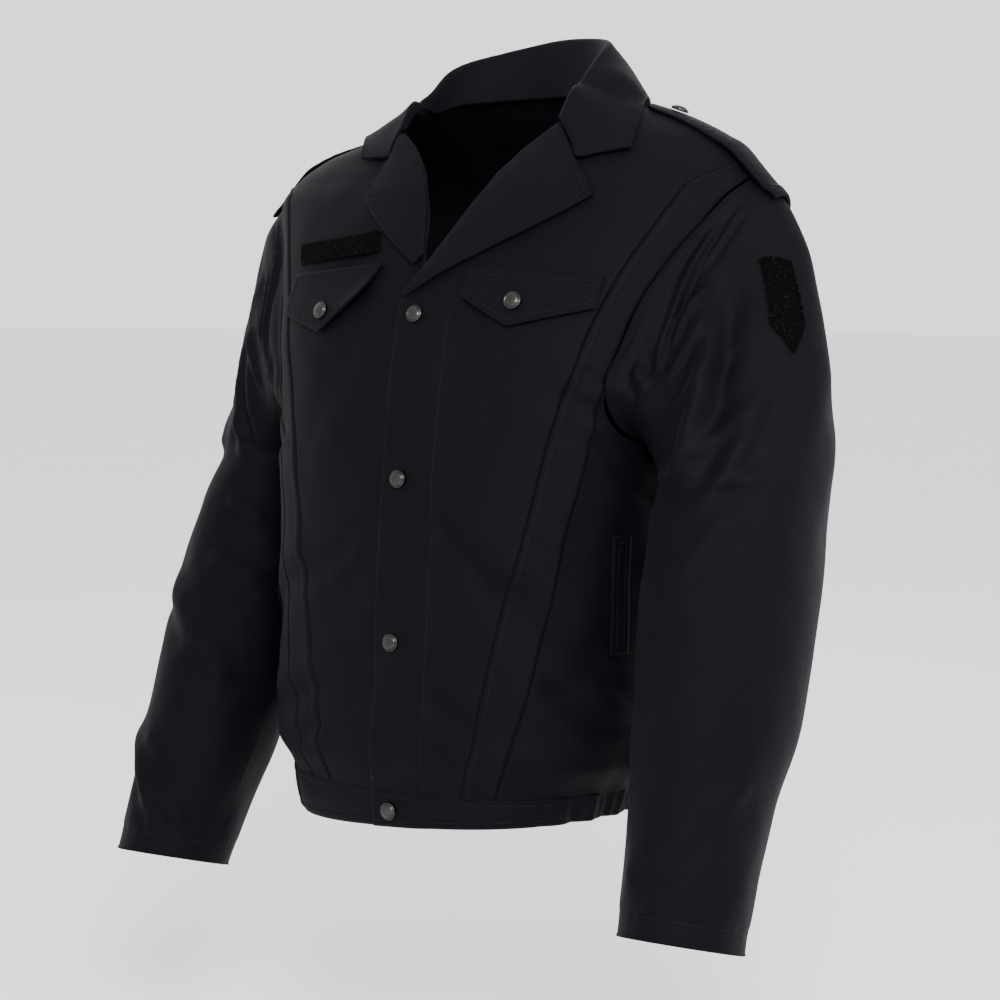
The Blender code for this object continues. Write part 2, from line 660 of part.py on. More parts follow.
def shoulder_height(x, y):
    """Height of the shoulder above a point of the plan, found by halving."""
    low, high = np.full(np.shape(x), SHOULDER_TIP - 0.02), np.full(np.shape(x), 0.044)
    for _ in range(30):
        middle = (low + high) / 2
        width, front, back, centre_y, square = np.moveaxis(smooth_table(BODY_ROWS, middle), -1, 0)
        depth = np.where(y < centre_y, front, back)
        outside = np.abs(x / width) ** square + np.abs((y - centre_y) / depth) ** square > 1
        low, high = np.where(outside, low, middle), np.where(outside, middle, high)
    return low + shoulder_shift(x, y, low)


def grid_normals(points):
    """Normals of an open grid whose columns run to the right and rows run up."""
    across = np.gradient(points, axis=0)
    upward = np.gradient(points, axis=1)
    return unit(np.cross(across, upward))


def mirrored(points, side):
    """The same grid for the wearer's right: mirrored, and its columns reversed."""
    return points if side > 0 else (points * np.array([-1.0, 1.0, 1.0]))[::-1]


def epaulette(side):
    """Shoulder strap along the shoulder line, its outer end over the head of the sleeve."""
    offsets = np.linspace(0.5, -0.5, 6) * STRAP_WIDTH
    reach = np.array([0.1275, 0.1355, 0.148, 0.162, 0.178, 0.194, 0.207])
    narrow = np.array([0.45, 0.85, 0.88, 0.92, 0.96, 1.0, 1.0])
    x = np.broadcast_to(reach, (6, len(reach)))
    y = STRAP_CENTRE_Y + offsets[:, None] * narrow
    flat = np.stack([x, y, shoulder_height(side * x, y)], -1)
    turns = np.radians(np.linspace(-75, 75, 61))
    over = []
    for along in (0.04, 0.08, 0.12):
        head = sleeve_points(side, turns % (2 * math.pi), np.full(turns.shape, along))[0]
        order = np.argsort(head[:, 1])
        wanted = STRAP_CENTRE_Y + offsets
        over.append(np.stack([np.interp(wanted, head[order, 1], head[order, k]) for k in range(3)], -1))
    strap = np.concatenate([flat, np.stack(over, axis=1)], axis=1)[:, ::-1][::-1]
    raised = STRAP_THICKNESS + np.array(STRAP_LIFTS)[None, :, None]
    strap = strap + grid_normals(strap) * raised
    name = "epaulette_left" if side > 0 else "epaulette_right"
    return cloth(name, mirrored(strap, side), STRAP_THICKNESS)


def five_sided(corners, columns, rows):
    """Turn and height over a flap with a pointed lower edge, from its corners in degrees."""
    first, second, third, point, last = np.array(corners, float)
    share = np.linspace(0, 1, columns)[:, None]
    upper = first + (second - first) * share
    middle = (columns // 2) / (columns - 1)
    near = last + (point - last) * np.clip(share / middle, 0, 1)
    far = point + (third - point) * np.clip((share - middle) / (1 - middle), 0, 1)
    lower = np.where(share < middle, near, far)
    down = np.linspace(1, 0, rows)[None, :, None]
    return upper[:, None] + (lower - upper)[:, None] * down, share, down[..., 0]


def pocket_flap(name, corners, slack):
    """Pointed pocket flap on the chest; slack lifts its lower corner nearest the closing."""
    grid, share, down = five_sided(corners, 9, 5)
    lift = DOUBLE_CLOTH + 0.0008 + 0.0012 * down + slack * down**2 * (1 - share) ** 3
    points = body(np.radians(grid[..., 0]), grid[..., 1], lift)
    if corners[0][0] > corners[1][0]:
        points = points[::-1]
    return cloth(name, points, DOUBLE_CLOTH)


def side_welt(side):
    """Welt of the slanting side pocket."""
    across = np.linspace(0, 1, 4)[:, None]
    height = np.linspace(WELT_BOTTOM, WELT_TOP, 7)[None, :]
    turn = WELT_FRONT + math.degrees(WELT_WIDTH / 0.18) * across + 0 * height
    lift = CLOTH + 0.0008
    points = body(side * np.radians(turn), height + 0 * turn, lift + 0 * turn)
    if side < 0:
        points = points[::-1]
    return cloth("side_welt_left" if side > 0 else "side_welt_right", points)


def name_strip():
    """Strip of hook-and-loop pile above the flap of the wearer's right chest."""
    corners = np.radians(np.array(NAME_STRIP)[:, 0]), np.array(NAME_STRIP)[:, 1]
    across = np.linspace(0, 1, 9)[:, None]
    down = np.linspace(1, 0, 4)[None, :]
    turn, height = (
        (c[0] + (c[1] - c[0]) * across) * (1 - down) + (c[3] + (c[2] - c[3]) * across) * down
        for c in corners
    )
    points = body(turn, height, 0 * turn + PILE_THICKNESS + STRIP_CLEAR)
    return cloth("name_strip", points, PILE_THICKNESS, look="pile")


def arm_patch():
    """Shield of hook-and-loop pile on the left upper sleeve."""
    grid, _, _ = five_sided(ARM_PATCH, 7, 9)
    around, along = np.radians(grid[..., 0]), grid[..., 1]
    points = sleeve_cloth(1, around % (2 * math.pi), along)
    points = points[::-1]
    points = points + grid_normals(points) * (PILE_THICKNESS + PATCH_CLEAR)
    return cloth("arm_patch", points, PILE_THICKNESS, look="pile")


def lapel(side):
    """Turned-back lapel, from the fold line to its free edge, with the step to the collar."""
    rows = np.array(LAPEL_LEFT_ROWS if side > 0 else LAPEL_RIGHT_ROWS)
    corners = LAPEL_LEFT_TOP if side > 0 else LAPEL_RIGHT_TOP
    roll = seam_turn(ROLL_LEFT_ROWS if side > 0 else ROLL_RIGHT_ROWS, rows[:, 0])
    start = np.stack([roll, rows[:, 0]], axis=-1)
    across = LAPEL_ACROSS[:, None]
    body_rows = start + (rows[:, 1:] - start) * across[..., None]
    gorge, notch, point = np.array(corners, float)
    top = np.where(
        across < LAPEL_NOTCH_SHARE,
        gorge + (notch - gorge) * across / LAPEL_NOTCH_SHARE,
        notch + (point - notch) * (across - LAPEL_NOTCH_SHARE) / (1 - LAPEL_NOTCH_SHARE),
    )
    grid = np.concatenate([body_rows, top[:, None]], axis=1)
    fold = np.sin(np.pi / 2 * np.clip(across / 0.2, 0, 1))
    aside = 0.11 * np.radians(grid[..., 0])
    over = LAP_LIFT * (side > 0) * smooth_step((LAP_UNDER + LAP_FADE - aside) / LAP_FADE)
    lift = DOUBLE_CLOTH + 0.0006 + (LAPEL_STAND - 0.0006) * fold + over
    points = body(side * np.radians(grid[..., 0]), grid[..., 1], lift)
    if side < 0:
        points = points[::-1]
    return cloth("lapel_left" if side > 0 else "lapel_right", points, DOUBLE_CLOTH)


def collar_end(side):
    """Front edge of the collar on the body: gorge, notch and point, with points between."""
    corners = np.array(COLLAR_LEFT_FRONT if side > 0 else COLLAR_RIGHT_FRONT)
    turn, height = (np.interp(COLLAR_END_PLACES, (0, 1, 2), column) for column in corners.T)
    return body(side * np.radians(turn), height, np.full(len(turn), LAPEL_STAND))


def collar():
    """Collar leaf: a stand, a rounded crest and a fall, with pointed front corners."""
    ends = collar_end(1), collar_end(-1)
    mirror = np.array([-1.0, 1.0, 1.0])
    inside = np.array([-0.002, 0.002, 0.0])
    left, right = np.array(COLLAR_LEFT_ROWS), np.array(COLLAR_RIGHT_ROWS) * mirror
    first, last = (np.stack([e[0] + inside * m, e[0], e[-1]]) for e, m in zip(ends, (1.0, mirror)))
    knots = np.concatenate([first[None], left, right[::-1], last[None]])
    place = np.linspace(0, len(knots) - 1, COLLAR_STATIONS)
    low = np.clip(np.floor(place).astype(int), 0, len(knots) - 2)
    t = (place - low)[:, None, None]
    before, after = knots[np.maximum(low - 1, 0)], knots[np.minimum(low + 2, len(knots) - 1)]
    a, b = knots[low], knots[low + 1]
    curve = 0.5 * (
        2 * a + (b - before) * t + (2 * before - 5 * a + 4 * b - after) * t**2
        + (3 * a - before - 3 * b + after) * t**3
    )
    seam, crest, edge = curve[:, 0], curve[:, 1], curve[:, 2]
    outward = unit((edge - crest) * np.array([1.0, 1.0, 0.0]))
    up = np.array([0.0, 0.0, 1.0])
    tall = np.clip((crest - seam)[:, 2:3] / 0.02, 0, 1)
    half = COLLAR_FOLD / 2
    inner = crest - up * half * tall
    outer = crest + outward * half * tall - up * half * 0.4 * tall
    across = smooth_step(place / (len(knots) - 1))[:, None]
    full = COLLAR_SWELL[0] + (COLLAR_SWELL[1] - COLLAR_SWELL[0]) * across
    levels = [seam, seam + (inner - seam) * 0.5, inner, crest + outward * half * 0.4 * tall, outer]
    for share in (0.3, 0.55, 0.8, 1.0):
        swell = full * 4 * share * (1 - share) * tall
        levels.append(outer + (edge - outer) * share + (outward + up) * swell)
    points = np.stack(levels, axis=1)
    fade = smooth_step(1 - np.arange(COLLAR_STATIONS) / 3.0)[:, None, None]
    for end, row, nearness in ((ends[0], 0, fade), (ends[1], -1, fade[::-1])):
        points[:, 3:] += nearness * (end - points[row, 3:])
    floor = shoulder_height(points[..., 0], points[..., 1]) + COLLAR_CLEAR
    points[1:-1, 3:, 2] = np.maximum(points[1:-1, 3:, 2], floor[1:-1, 3:])
    return cloth("collar", points, DOUBLE_CLOTH)


def waistband():
    """Elastic band round the waist, its front ends lapped, with gathers at both sides."""
    start = -math.degrees(math.asin(LAP_OVER / BAND_REACH))
    end = 360 + math.degrees(math.asin(LAP_UNDER / BAND_REACH))
    fine = 4 * GATHER_WAVES + 1
    turns = np.concatenate([
        np.linspace(start, GATHER_FROM, 9)[:-1],
        np.linspace(GATHER_FROM, GATHER_TO, fine),
        np.linspace(GATHER_TO, 360 - GATHER_TO, 9)[1:-1],
        np.linspace(360 - GATHER_TO, 360 - GATHER_FROM, fine),
        np.linspace(360 - GATHER_FROM, end, 9)[1:],
    ])
    folded = np.minimum(turns, 360 - turns)
    share = (folded - GATHER_FROM) / (GATHER_TO - GATHER_FROM)
    window = smooth_step(share * 6) * smooth_step((1 - share) * 6)
    wave = GATHER_DEPTH * window * np.cos(2 * math.pi * GATHER_WAVES * share)
    fold_over = LAP_LIFT * smooth_step((BAND_LAP_END - turns) / BAND_LAP_FADE)
    turn = np.radians(turns)[:, None]
    down = np.array([1.0, 0.87, 0.13, 0.0])[None, :]
    rolled = np.array([-0.0008, 0.0, 0.0, -0.0006])[None, :]
    top = BAND_TOP - 1.5 * SEAM_GAP
    points = body_plain(turn, top - BAND_DEPTH * down)
    points = points + body_normal(turn, top - BAND_DEPTH * down) * (wave + fold_over)[:, None, None]
    points = points + body_normal(turn, top - BAND_DEPTH * down) * rolled[..., None]
    points[..., 2] += BAND_SLANT * points[..., 0] * down
    return cloth("waistband", points, DOUBLE_CLOTH)


def snap(name, place, direction):
    """Domed snap cap with a rim, turned about its own axis and set on the cloth."""
    radius, height = SNAP_RADIUS, SNAP_HEIGHT
    profile = [
        (0.0, height), (0.45 * radius, 0.95 * height), (0.74 * radius, 0.74 * height),
        (0.82 * radius, 0.55 * height), (0.92 * radius, 0.60 * height), (radius, 0.36 * height),
        (0.97 * radius, 0.0), (0.0, 0.0),
    ]
    mesh = bpy.data.meshes.new(name)
    edges = [(k, k + 1) for k in range(len(profile) - 1)]
    mesh.from_pydata([(x, 0.0, z) for x, z in profile], edges, [])
    cap = bpy.data.objects.new(name, mesh)
    parts.objects.link(cap)
    mesh.materials.append(material("gunmetal", GUNMETAL, 0.3, 1.0))
    turned = cap.modifiers.new("turned", "SCREW")
    turned.axis = "Z"
    turned.steps = turned.render_steps = SNAP_SIDES
    turned.use_merge_vertices = True
    turned.merge_threshold = 0.00001
    turned.use_smooth_shade = True
    cap.location = place
    cap.rotation_mode = "QUATERNION"
    cap.rotation_quaternion = Vector(direction).to_track_quat("Z", "Y")
    return cap


def snap_on_body(name, turn, height, lift):
    """Snap on the torso, its base just clear of the cloth below it."""
    angle = np.radians(turn)
    place = body(angle, height, lift + 0.0003)
    return snap(name, place.tolist(), body_normal(angle, np.asarray(height)).tolist())


def snap_on_strap(name, side):
    """Snap near the neck end of a shoulder strap."""
    x, y = np.array(STRAP_SNAP_X), np.array(STRAP_CENTRE_Y)
    step = 0.004
    rise_x = (shoulder_height(side * (x + step), y) - shoulder_height(side * (x - step), y)) / (2 * step)
    rise_y = (shoulder_height(side * x, y + step) - shoulder_height(side * x, y - step)) / (2 * step)
    direction = unit(np.array([-rise_x, -rise_y, 1.0]))
    place = np.array([x, y, shoulder_height(side * x, y)]) + direction * (STRAP_THICKNESS + 0.0018)
    mirror = np.array([side, 1.0, 1.0])
    return snap(name, (place * mirror).tolist(), (direction * mirror).tolist())


for old in list(bpy.data.objects):
    bpy.data.objects.remove(old, do_unlink=True)
parts = bpy.data.collections.new("uniform_jacket")
bpy.context.scene.collection.children.link(parts)

for side in (1, -1):
    front_center(side)
    front_strip(side)
    side_panel(side)
    sleeve(side)
back_panel()
waistband()
collar()
for side in (1, -1):
    lapel(side)
    epaulette(side)
    side_welt(side)
pocket_flap("pocket_flap_left", FLAP_LEFT, 0.0)
pocket_flap("pocket_flap_right", FLAP_RIGHT, FLAP_SLACK)
name_strip()
arm_patch()
for number in range(3):
    lapped = LAP_LIFT + 0.0002
    snap_on_body(f"snap_front_{number + 1}", 0.0, FRONT_SNAP_FIRST - number * FRONT_SNAP_STEP, lapped)
snap_on_body("snap_waistband", 0.0, WAIST_SNAP_HEIGHT, LAP_LIFT + 0.0002)
snap_on_body("snap_flap_left", *FLAP_LEFT_SNAP, DOUBLE_CLOTH + 0.0022)
snap_on_body("snap_flap_right", *FLAP_RIGHT_SNAP, DOUBLE_CLOTH + 0.0022)
snap_on_strap("snap_epaulette_left", 1)
snap_on_strap("snap_epaulette_right", -1)
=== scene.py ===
import math

import bpy
import numpy as np
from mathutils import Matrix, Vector


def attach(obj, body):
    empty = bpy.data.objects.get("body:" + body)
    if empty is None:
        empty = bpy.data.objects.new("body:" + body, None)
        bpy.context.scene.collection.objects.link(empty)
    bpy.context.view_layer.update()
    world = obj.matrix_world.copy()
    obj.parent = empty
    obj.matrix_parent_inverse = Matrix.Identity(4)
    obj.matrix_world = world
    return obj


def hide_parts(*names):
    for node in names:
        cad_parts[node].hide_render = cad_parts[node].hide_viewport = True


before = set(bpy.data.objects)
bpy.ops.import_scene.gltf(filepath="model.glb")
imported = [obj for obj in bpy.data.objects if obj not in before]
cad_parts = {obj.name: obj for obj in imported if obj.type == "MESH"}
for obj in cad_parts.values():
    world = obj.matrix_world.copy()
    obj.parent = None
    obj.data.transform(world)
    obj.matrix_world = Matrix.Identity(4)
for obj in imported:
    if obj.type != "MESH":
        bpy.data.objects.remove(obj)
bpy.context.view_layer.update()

# The jacket's own sizes, in metres: the wearer's left is +X, the front is -Y
CLOTH = 0.0018
DOUBLE_CLOTH = 0.0024
SEAM_GAP = 0.0003
LAP_OVER = 0.017
LAP_UNDER = 0.020
LAP_LIFT = 0.0023
LAP_FADE = 0.026
NECK_FRONT_TOP = 0.0455
NECK_SIDE = 0.0475
NECK_BACK = 0.050
SHOULDER_TIP = -0.034
STRIP_TOP = -0.0235
ARMHOLE_CORNER = -0.190
BAND_TOP = -0.505
BAND_DEPTH = 0.0305
BAND_SLANT = 0.06
BREAK_POINT = -0.122
SNAP_RADIUS = 0.0072
SNAP_HEIGHT = 0.0040
FRONT_SNAP_FIRST = -0.135
FRONT_SNAP_STEP = 0.1275
STRAP_WIDTH = 0.042
STRAP_THICKNESS = 0.0026
STRAP_CENTRE_Y = 0.034
STRAP_LIFTS = (0.0032, 0.0034, 0.0034, 0.0028, 0.0018, 0.001, 0.001, 0.001, 0.001, 0.001)
LEFT_RISE = 0.008
RIGHT_DROP = 0.014
STRAP_SNAP_X = 0.150
WAIST_SNAP_HEIGHT = -0.5225
PILE_THICKNESS = 0.0018
STRIP_CLEAR = 0.0005
PATCH_CLEAR = 0.0010
LAPEL_STAND = 0.0022
LAPEL_ACROSS = (0.0, 0.08, 0.22, 0.4, 0.58, 0.79, 1.0)
LAPEL_NOTCH_SHARE = 0.58
COLLAR_END_PLACES = (0.0, 0.2, 0.6, 1.0, 1.5, 2.0)
COLLAR_STATIONS = 29
COLLAR_FOLD = 0.0075
COLLAR_SWELL = (0.004, 0.0005)
COLLAR_CLEAR = 0.0022
FLAP_SLACK = 0.006
BAND_REACH = 0.143
BAND_LAP_END = 17.0
BAND_LAP_FADE = 9.0
GATHER_FROM = 42.0
GATHER_TO = 150.0
GATHER_WAVES = 10
GATHER_DEPTH = 0.0016

# Sewing: how far in from an edge the thread runs, the length of a stitch and of its gap
EDGE_STITCH = 0.0055
STITCH_PITCH = 0.0031
STITCH_LENGTH = 0.0024
THREAD_RADIUS = 0.00024

# Body sections: height, half_width, front_depth, back_depth, centre_y, squareness
BODY_ROWS = (
    (0.048, 0.082, 0.052, 0.056, 0.020, 2.0),
    (0.020, 0.142, 0.062, 0.068, 0.024, 2.0),
    (0.000, 0.186, 0.074, 0.082, 0.026, 2.0),
    (-0.020, 0.213, 0.087, 0.092, 0.027, 2.1),
    (-0.040, 0.226, 0.098, 0.099, 0.026, 2.25),
    (-0.090, 0.206, 0.114, 0.108, 0.018, 2.6),
    (-0.150, 0.193, 0.126, 0.114, 0.006, 2.7),
    (-0.240, 0.178, 0.132, 0.116, -0.004, 2.8),
    (-0.350, 0.172, 0.136, 0.114, -0.010, 2.8),
    (-0.450, 0.173, 0.142, 0.116, -0.012, 2.7),
    (-0.480, 0.173, 0.145, 0.117, -0.012, 2.6),
    (-0.505, 0.158, 0.142, 0.108, -0.012, 2.5),
    (-0.540, 0.148, 0.140, 0.101, -0.012, 2.5),
)

# Seam lines on the body: height, turn in degrees from the centre front
CHEST_SEAM_ROWS = (
    (-0.0215, 89.9), (-0.0265, 80.0), (-0.0325, 75.0), (-0.0515, 70.0), (-0.079, 65.0), (-0.105, 60.6),
    (-0.140, 56.0), (-0.220, 48.0), (-0.280, 43.5), (-0.400, 33.0), (-0.480, 27.0), (-0.505, 25.0),
)
SIDE_SEAM_ROWS = (
    (-0.190, 59.5), (-0.250, 56.5), (-0.295, 53.0), (-0.350, 49.5), (-0.4275, 43.0), (-0.4775, 37.5), (-0.505, 35.0),
)
BACK_SEAM_ROWS = ((-0.190, 114.0), (-0.300, 116.0), (-0.505, 118.0))

# Armhole on the body, from the shoulder tip round the front: turn in degrees, height
ARMHOLE_ROWS = (
    (90.0, -0.0340), (81.5, -0.0425), (75.5, -0.0690), (70.0, -0.0980), (66.0, -0.1230), (62.5, -0.1580),
    (59.5, -0.1900), (65.0, -0.2200), (77.0, -0.2370), (90.0, -0.2420), (102.0, -0.2360), (111.0, -0.2160),
    (114.0, -0.1900), (113.0, -0.1500), (110.0, -0.1100), (105.0, -0.0710), (98.0, -0.0450),
)
ARMHOLE_FRONT_CORNER = 6
ARMHOLE_BACK_CORNER = 12

# Fold line of each lapel, from the break point up round the neck: height, turn in degrees
ROLL_LEFT_ROWS = (
    (-0.122, -7.5), (-0.105, -3.5), (-0.0925, 1.8), (-0.060, 12.0), (-0.025, 25.0), (-0.001, 41.0),
    (0.0162, 55.5), (0.028, 61.0), (0.036, 66.0), (0.044, 76.0), (0.0475, 86.0),
)
ROLL_RIGHT_ROWS = (
    (-0.122, -7.5), (-0.105, -3.5), (-0.0925, 1.8), (-0.0575, 7.0), (-0.024, 17.0), (0.000, 34.0),
    (0.0162, 51.0), (0.028, 60.0), (0.036, 66.0), (0.044, 76.0), (0.0475, 86.0),
)

# Lapel, from the break point to the gorge: roll_height, edge_turn, edge_height
LAPEL_LEFT_ROWS = (
    (-0.1190, -6.0, -0.1225), (-0.0960, 7.0, -0.1050), (-0.0710, 24.0, -0.0860), (-0.0460, 36.0, -0.0730),
    (-0.0240, 46.5, -0.0595), (-0.0060, 52.0, -0.0510), (0.0060, 54.5, -0.0465),
)
LAPEL_RIGHT_ROWS = (
    (-0.0880, 6.5, -0.0960), (-0.0710, 14.0, -0.0860), (-0.0500, 23.0, -0.0735), (-0.0280, 31.0, -0.0605),
    (-0.0090, 37.0, -0.0500), (0.0050, 39.5, -0.0445),
)

# Corners at the top: the lapel's gorge, notch and point, and the collar's gorge, notch and point
LAPEL_LEFT_TOP = ((55.5, 0.0162), (54.8, -0.0150), (56.2, -0.0438))
LAPEL_RIGHT_TOP = ((51.0, 0.0150), (44.5, -0.0075), (40.8, -0.0413))
COLLAR_LEFT_FRONT = ((56.2, 0.0176), (55.5, -0.0138), (69.0, -0.0075))
COLLAR_RIGHT_FRONT = ((51.7, 0.0164), (45.4, -0.0064), (59.0, -0.0050))

# Collar, from beside the gorge to the centre back: seam, crest and edge points of each half
COLLAR_LEFT_ROWS = (
    ((0.0786, 0.0000, 0.0410), (0.0785, 0.0000, 0.0470), (0.1345, 0.0040, 0.0180)),
    ((0.0780, 0.0230, 0.0430), (0.0785, 0.0232, 0.0680), (0.1200, 0.0340, 0.0380)),
    ((0.0675, 0.0450, 0.0445), (0.0740, 0.0500, 0.0860), (0.1030, 0.0680, 0.0300)),
    ((0.0420, 0.0625, 0.0455), (0.0460, 0.0780, 0.0925), (0.0620, 0.0970, 0.0280)),
    ((0.0000, 0.0715, 0.0460), (0.0000, 0.0880, 0.0945), (0.0000, 0.1060, 0.0270)),
)
COLLAR_RIGHT_ROWS = (
    ((0.0768, -0.0010, 0.0360), (0.0772, -0.0010, 0.0385), (0.1290, 0.0040, 0.0140)),
    ((0.0772, 0.0230, 0.0345), (0.0785, 0.0232, 0.0510), (0.1170, 0.0340, 0.0210)),
    ((0.0675, 0.0450, 0.0415), (0.0740, 0.0500, 0.0720), (0.1020, 0.0680, 0.0230)),
    ((0.0420, 0.0625, 0.0445), (0.0460, 0.0780, 0.0860), (0.0620, 0.0970, 0.0270)),
)

# Sleeve: height, centre_x, centre_y, radius_x, radius_y
SLEEVE_LEFT_ROWS = (
    (-0.262, 0.246, -0.030, 0.062, 0.080), (-0.300, 0.248, -0.046, 0.063, 0.084),
    (-0.350, 0.250, -0.062, 0.064, 0.082), (-0.430, 0.253, -0.086, 0.060, 0.073),
    (-0.500, 0.252, -0.110, 0.052, 0.058), (-0.560, 0.252, -0.130, 0.048, 0.052),
    (-0.595, 0.252, -0.140, 0.047, 0.050),
)
SLEEVE_RIGHT_ROWS = (
    (-0.262, 0.237, 0.034, 0.055, 0.080), (-0.300, 0.248, 0.020, 0.057, 0.079),
    (-0.385, 0.250, -0.016, 0.062, 0.077), (-0.455, 0.247, -0.054, 0.058, 0.068),
    (-0.510, 0.250, -0.080, 0.054, 0.061), (-0.560, 0.252, -0.103, 0.048, 0.052),
    (-0.600, 0.254, -0.121, 0.046, 0.049),
)
CUFF_SLANT = 0.30
SLEEVE_LEFT_FULLNESS = (0.80, 0.02, 0.0)
SLEEVE_RIGHT_FULLNESS = (0.80, -0.08, 0.2)

# Creases of the torso: turn, height to turn, height; width and depth
TORSO_CREASES = (
    (14.0, -0.425, 30.0, -0.462, 0.014, 0.0030),
    (36.0, -0.345, 62.0, -0.420, 0.020, 0.0045),
    (62.0, -0.205, 84.0, -0.275, 0.014, 0.0040),
    (48.0, -0.190, 60.0, -0.215, 0.010, 0.0030),
    (10.0, -0.290, 42.0, -0.360, 0.024, 0.0022),
    (-20.0, -0.420, -62.0, -0.470, 0.012, 0.0030),
    (-62.0, -0.205, -84.0, -0.275, 0.014, 0.0040),
    (-40.0, -0.340, -74.0, -0.410, 0.016, 0.0030),
    (118.0, -0.200, 150.0, -0.290, 0.018, 0.0040),
    (-118.0, -0.200, -150.0, -0.290, 0.018, 0.0040),
    (135.0, -0.420, 170.0, -0.475, 0.014, 0.0040),
    (-130.0, -0.410, -168.0, -0.480, 0.014, 0.0040),
    (150.0, -0.120, 205.0, -0.135, 0.020, 0.0030),
)

# Creases of a sleeve: around in degrees, along 0 to 2, then the far end, width and depth
SLEEVE_LEFT_CREASES = (
    (64.0, 0.16, 108.0, 1.02, 0.012, 0.0065),
    (60.0, 0.30, 118.0, 0.96, 0.008, 0.0045),
    (48.0, 0.66, 84.0, 1.06, 0.009, 0.0040),
    (62.0, 1.02, 98.0, 1.22, 0.010, 0.0030),
    (-60.0, 0.30, -110.0, 0.95, 0.010, 0.0050),
    (-35.0, 0.35, -80.0, 0.85, 0.010, 0.0035),
    (-60.0, 1.45, -130.0, 1.60, 0.012, 0.0035),
    (60.0, 1.78, 130.0, 1.88, 0.010, 0.0030),
    (-40.0, 1.70, -100.0, 1.85, 0.010, 0.0025),
)
SLEEVE_RIGHT_CREASES = (
    (40.0, 0.20, 96.0, 0.98, 0.010, 0.0055),
    (66.0, 0.35, 118.0, 0.92, 0.008, 0.0040),
    (10.0, 0.75, 50.0, 0.95, 0.008, 0.0045),
    (-60.0, 0.30, -110.0, 0.95, 0.010, 0.0050),
    (50.0, 1.35, 110.0, 1.50, 0.012, 0.0035),
    (30.0, 1.70, 96.0, 1.88, 0.010, 0.0045),
    (60.0, 1.80, 110.0, 1.95, 0.008, 0.0035),
    (-50.0, 1.60, -110.0, 1.75, 0.010, 0.0030),
)

# Finer folds, listed one by one. Torso: width, depth, then places of turn and height
TORSO_FOLDS = (
    (0.010, 0.0020, ((13.0, -0.287), (26.7, -0.322), (39.3, -0.361))),
    (0.005, 0.0012, ((43.0, -0.301), (48.7, -0.318))),
    (0.009, 0.0036, ((44.3, -0.408), (55.3, -0.433), (69.3, -0.463))),
    (0.006, 0.0020, ((60.0, -0.405), (72.0, -0.430), (84.0, -0.438))),
    (0.007, 0.0024, ((15.7, -0.464), (21.0, -0.478), (27.0, -0.492))),
    (0.006, 0.0018, ((38.0, -0.476), (48.7, -0.496))),
    (0.006, 0.0016, ((53.3, -0.173), (60.3, -0.190))),
    (0.008, 0.0030, ((60.7, -0.199), (67.0, -0.222), (73.7, -0.239))),
    (0.006, 0.0018, ((49.0, -0.216), (56.0, -0.227), (66.0, -0.250))),
    (0.007, 0.0022, ((60.3, -0.237), (70.7, -0.268), (84.0, -0.285))),
    (0.009, 0.0016, ((66.0, -0.330), (80.0, -0.352), (96.0, -0.350))),
    (0.010, 0.0018, ((-14.0, -0.300), (-30.0, -0.335), (-46.0, -0.352))),
    (0.007, 0.0020, ((-24.0, -0.452), (-36.0, -0.476), (-50.0, -0.488))),
    (0.008, 0.0028, ((-60.7, -0.202), (-68.0, -0.226), (-78.0, -0.244))),
    (0.006, 0.0018, ((-52.0, -0.222), (-66.0, -0.252))),
    (0.009, 0.0022, ((-70.0, -0.400), (-84.0, -0.430), (-100.0, -0.440))),
    (0.010, 0.0026, ((112.0, -0.172), (122.0, -0.205), (136.0, -0.226))),
    (0.009, 0.0022, ((116.0, -0.235), (132.0, -0.275), (152.0, -0.300))),
    (0.012, 0.0020, ((150.0, -0.330), (172.0, -0.352), (190.0, -0.348))),
    (0.008, 0.0026, ((122.0, -0.432), (136.0, -0.462), (154.0, -0.480))),
    (0.009, 0.0022, ((168.0, -0.440), (184.0, -0.470), (196.0, -0.488))),
    (0.010, 0.0026, ((-112.0, -0.170), (-124.0, -0.208), (-140.0, -0.232))),
    (0.009, 0.0024, ((-116.0, -0.245), (-134.0, -0.282), (-150.0, -0.292))),
    (0.008, 0.0024, ((-122.0, -0.440), (-140.0, -0.470), (-160.0, -0.482))),
    (0.014, 0.0018, ((140.0, -0.070), (165.0, -0.092), (178.0, -0.096))),
    (0.013, 0.0016, ((-140.0, -0.064), (-160.0, -0.080), (-172.0, -0.084))),
)
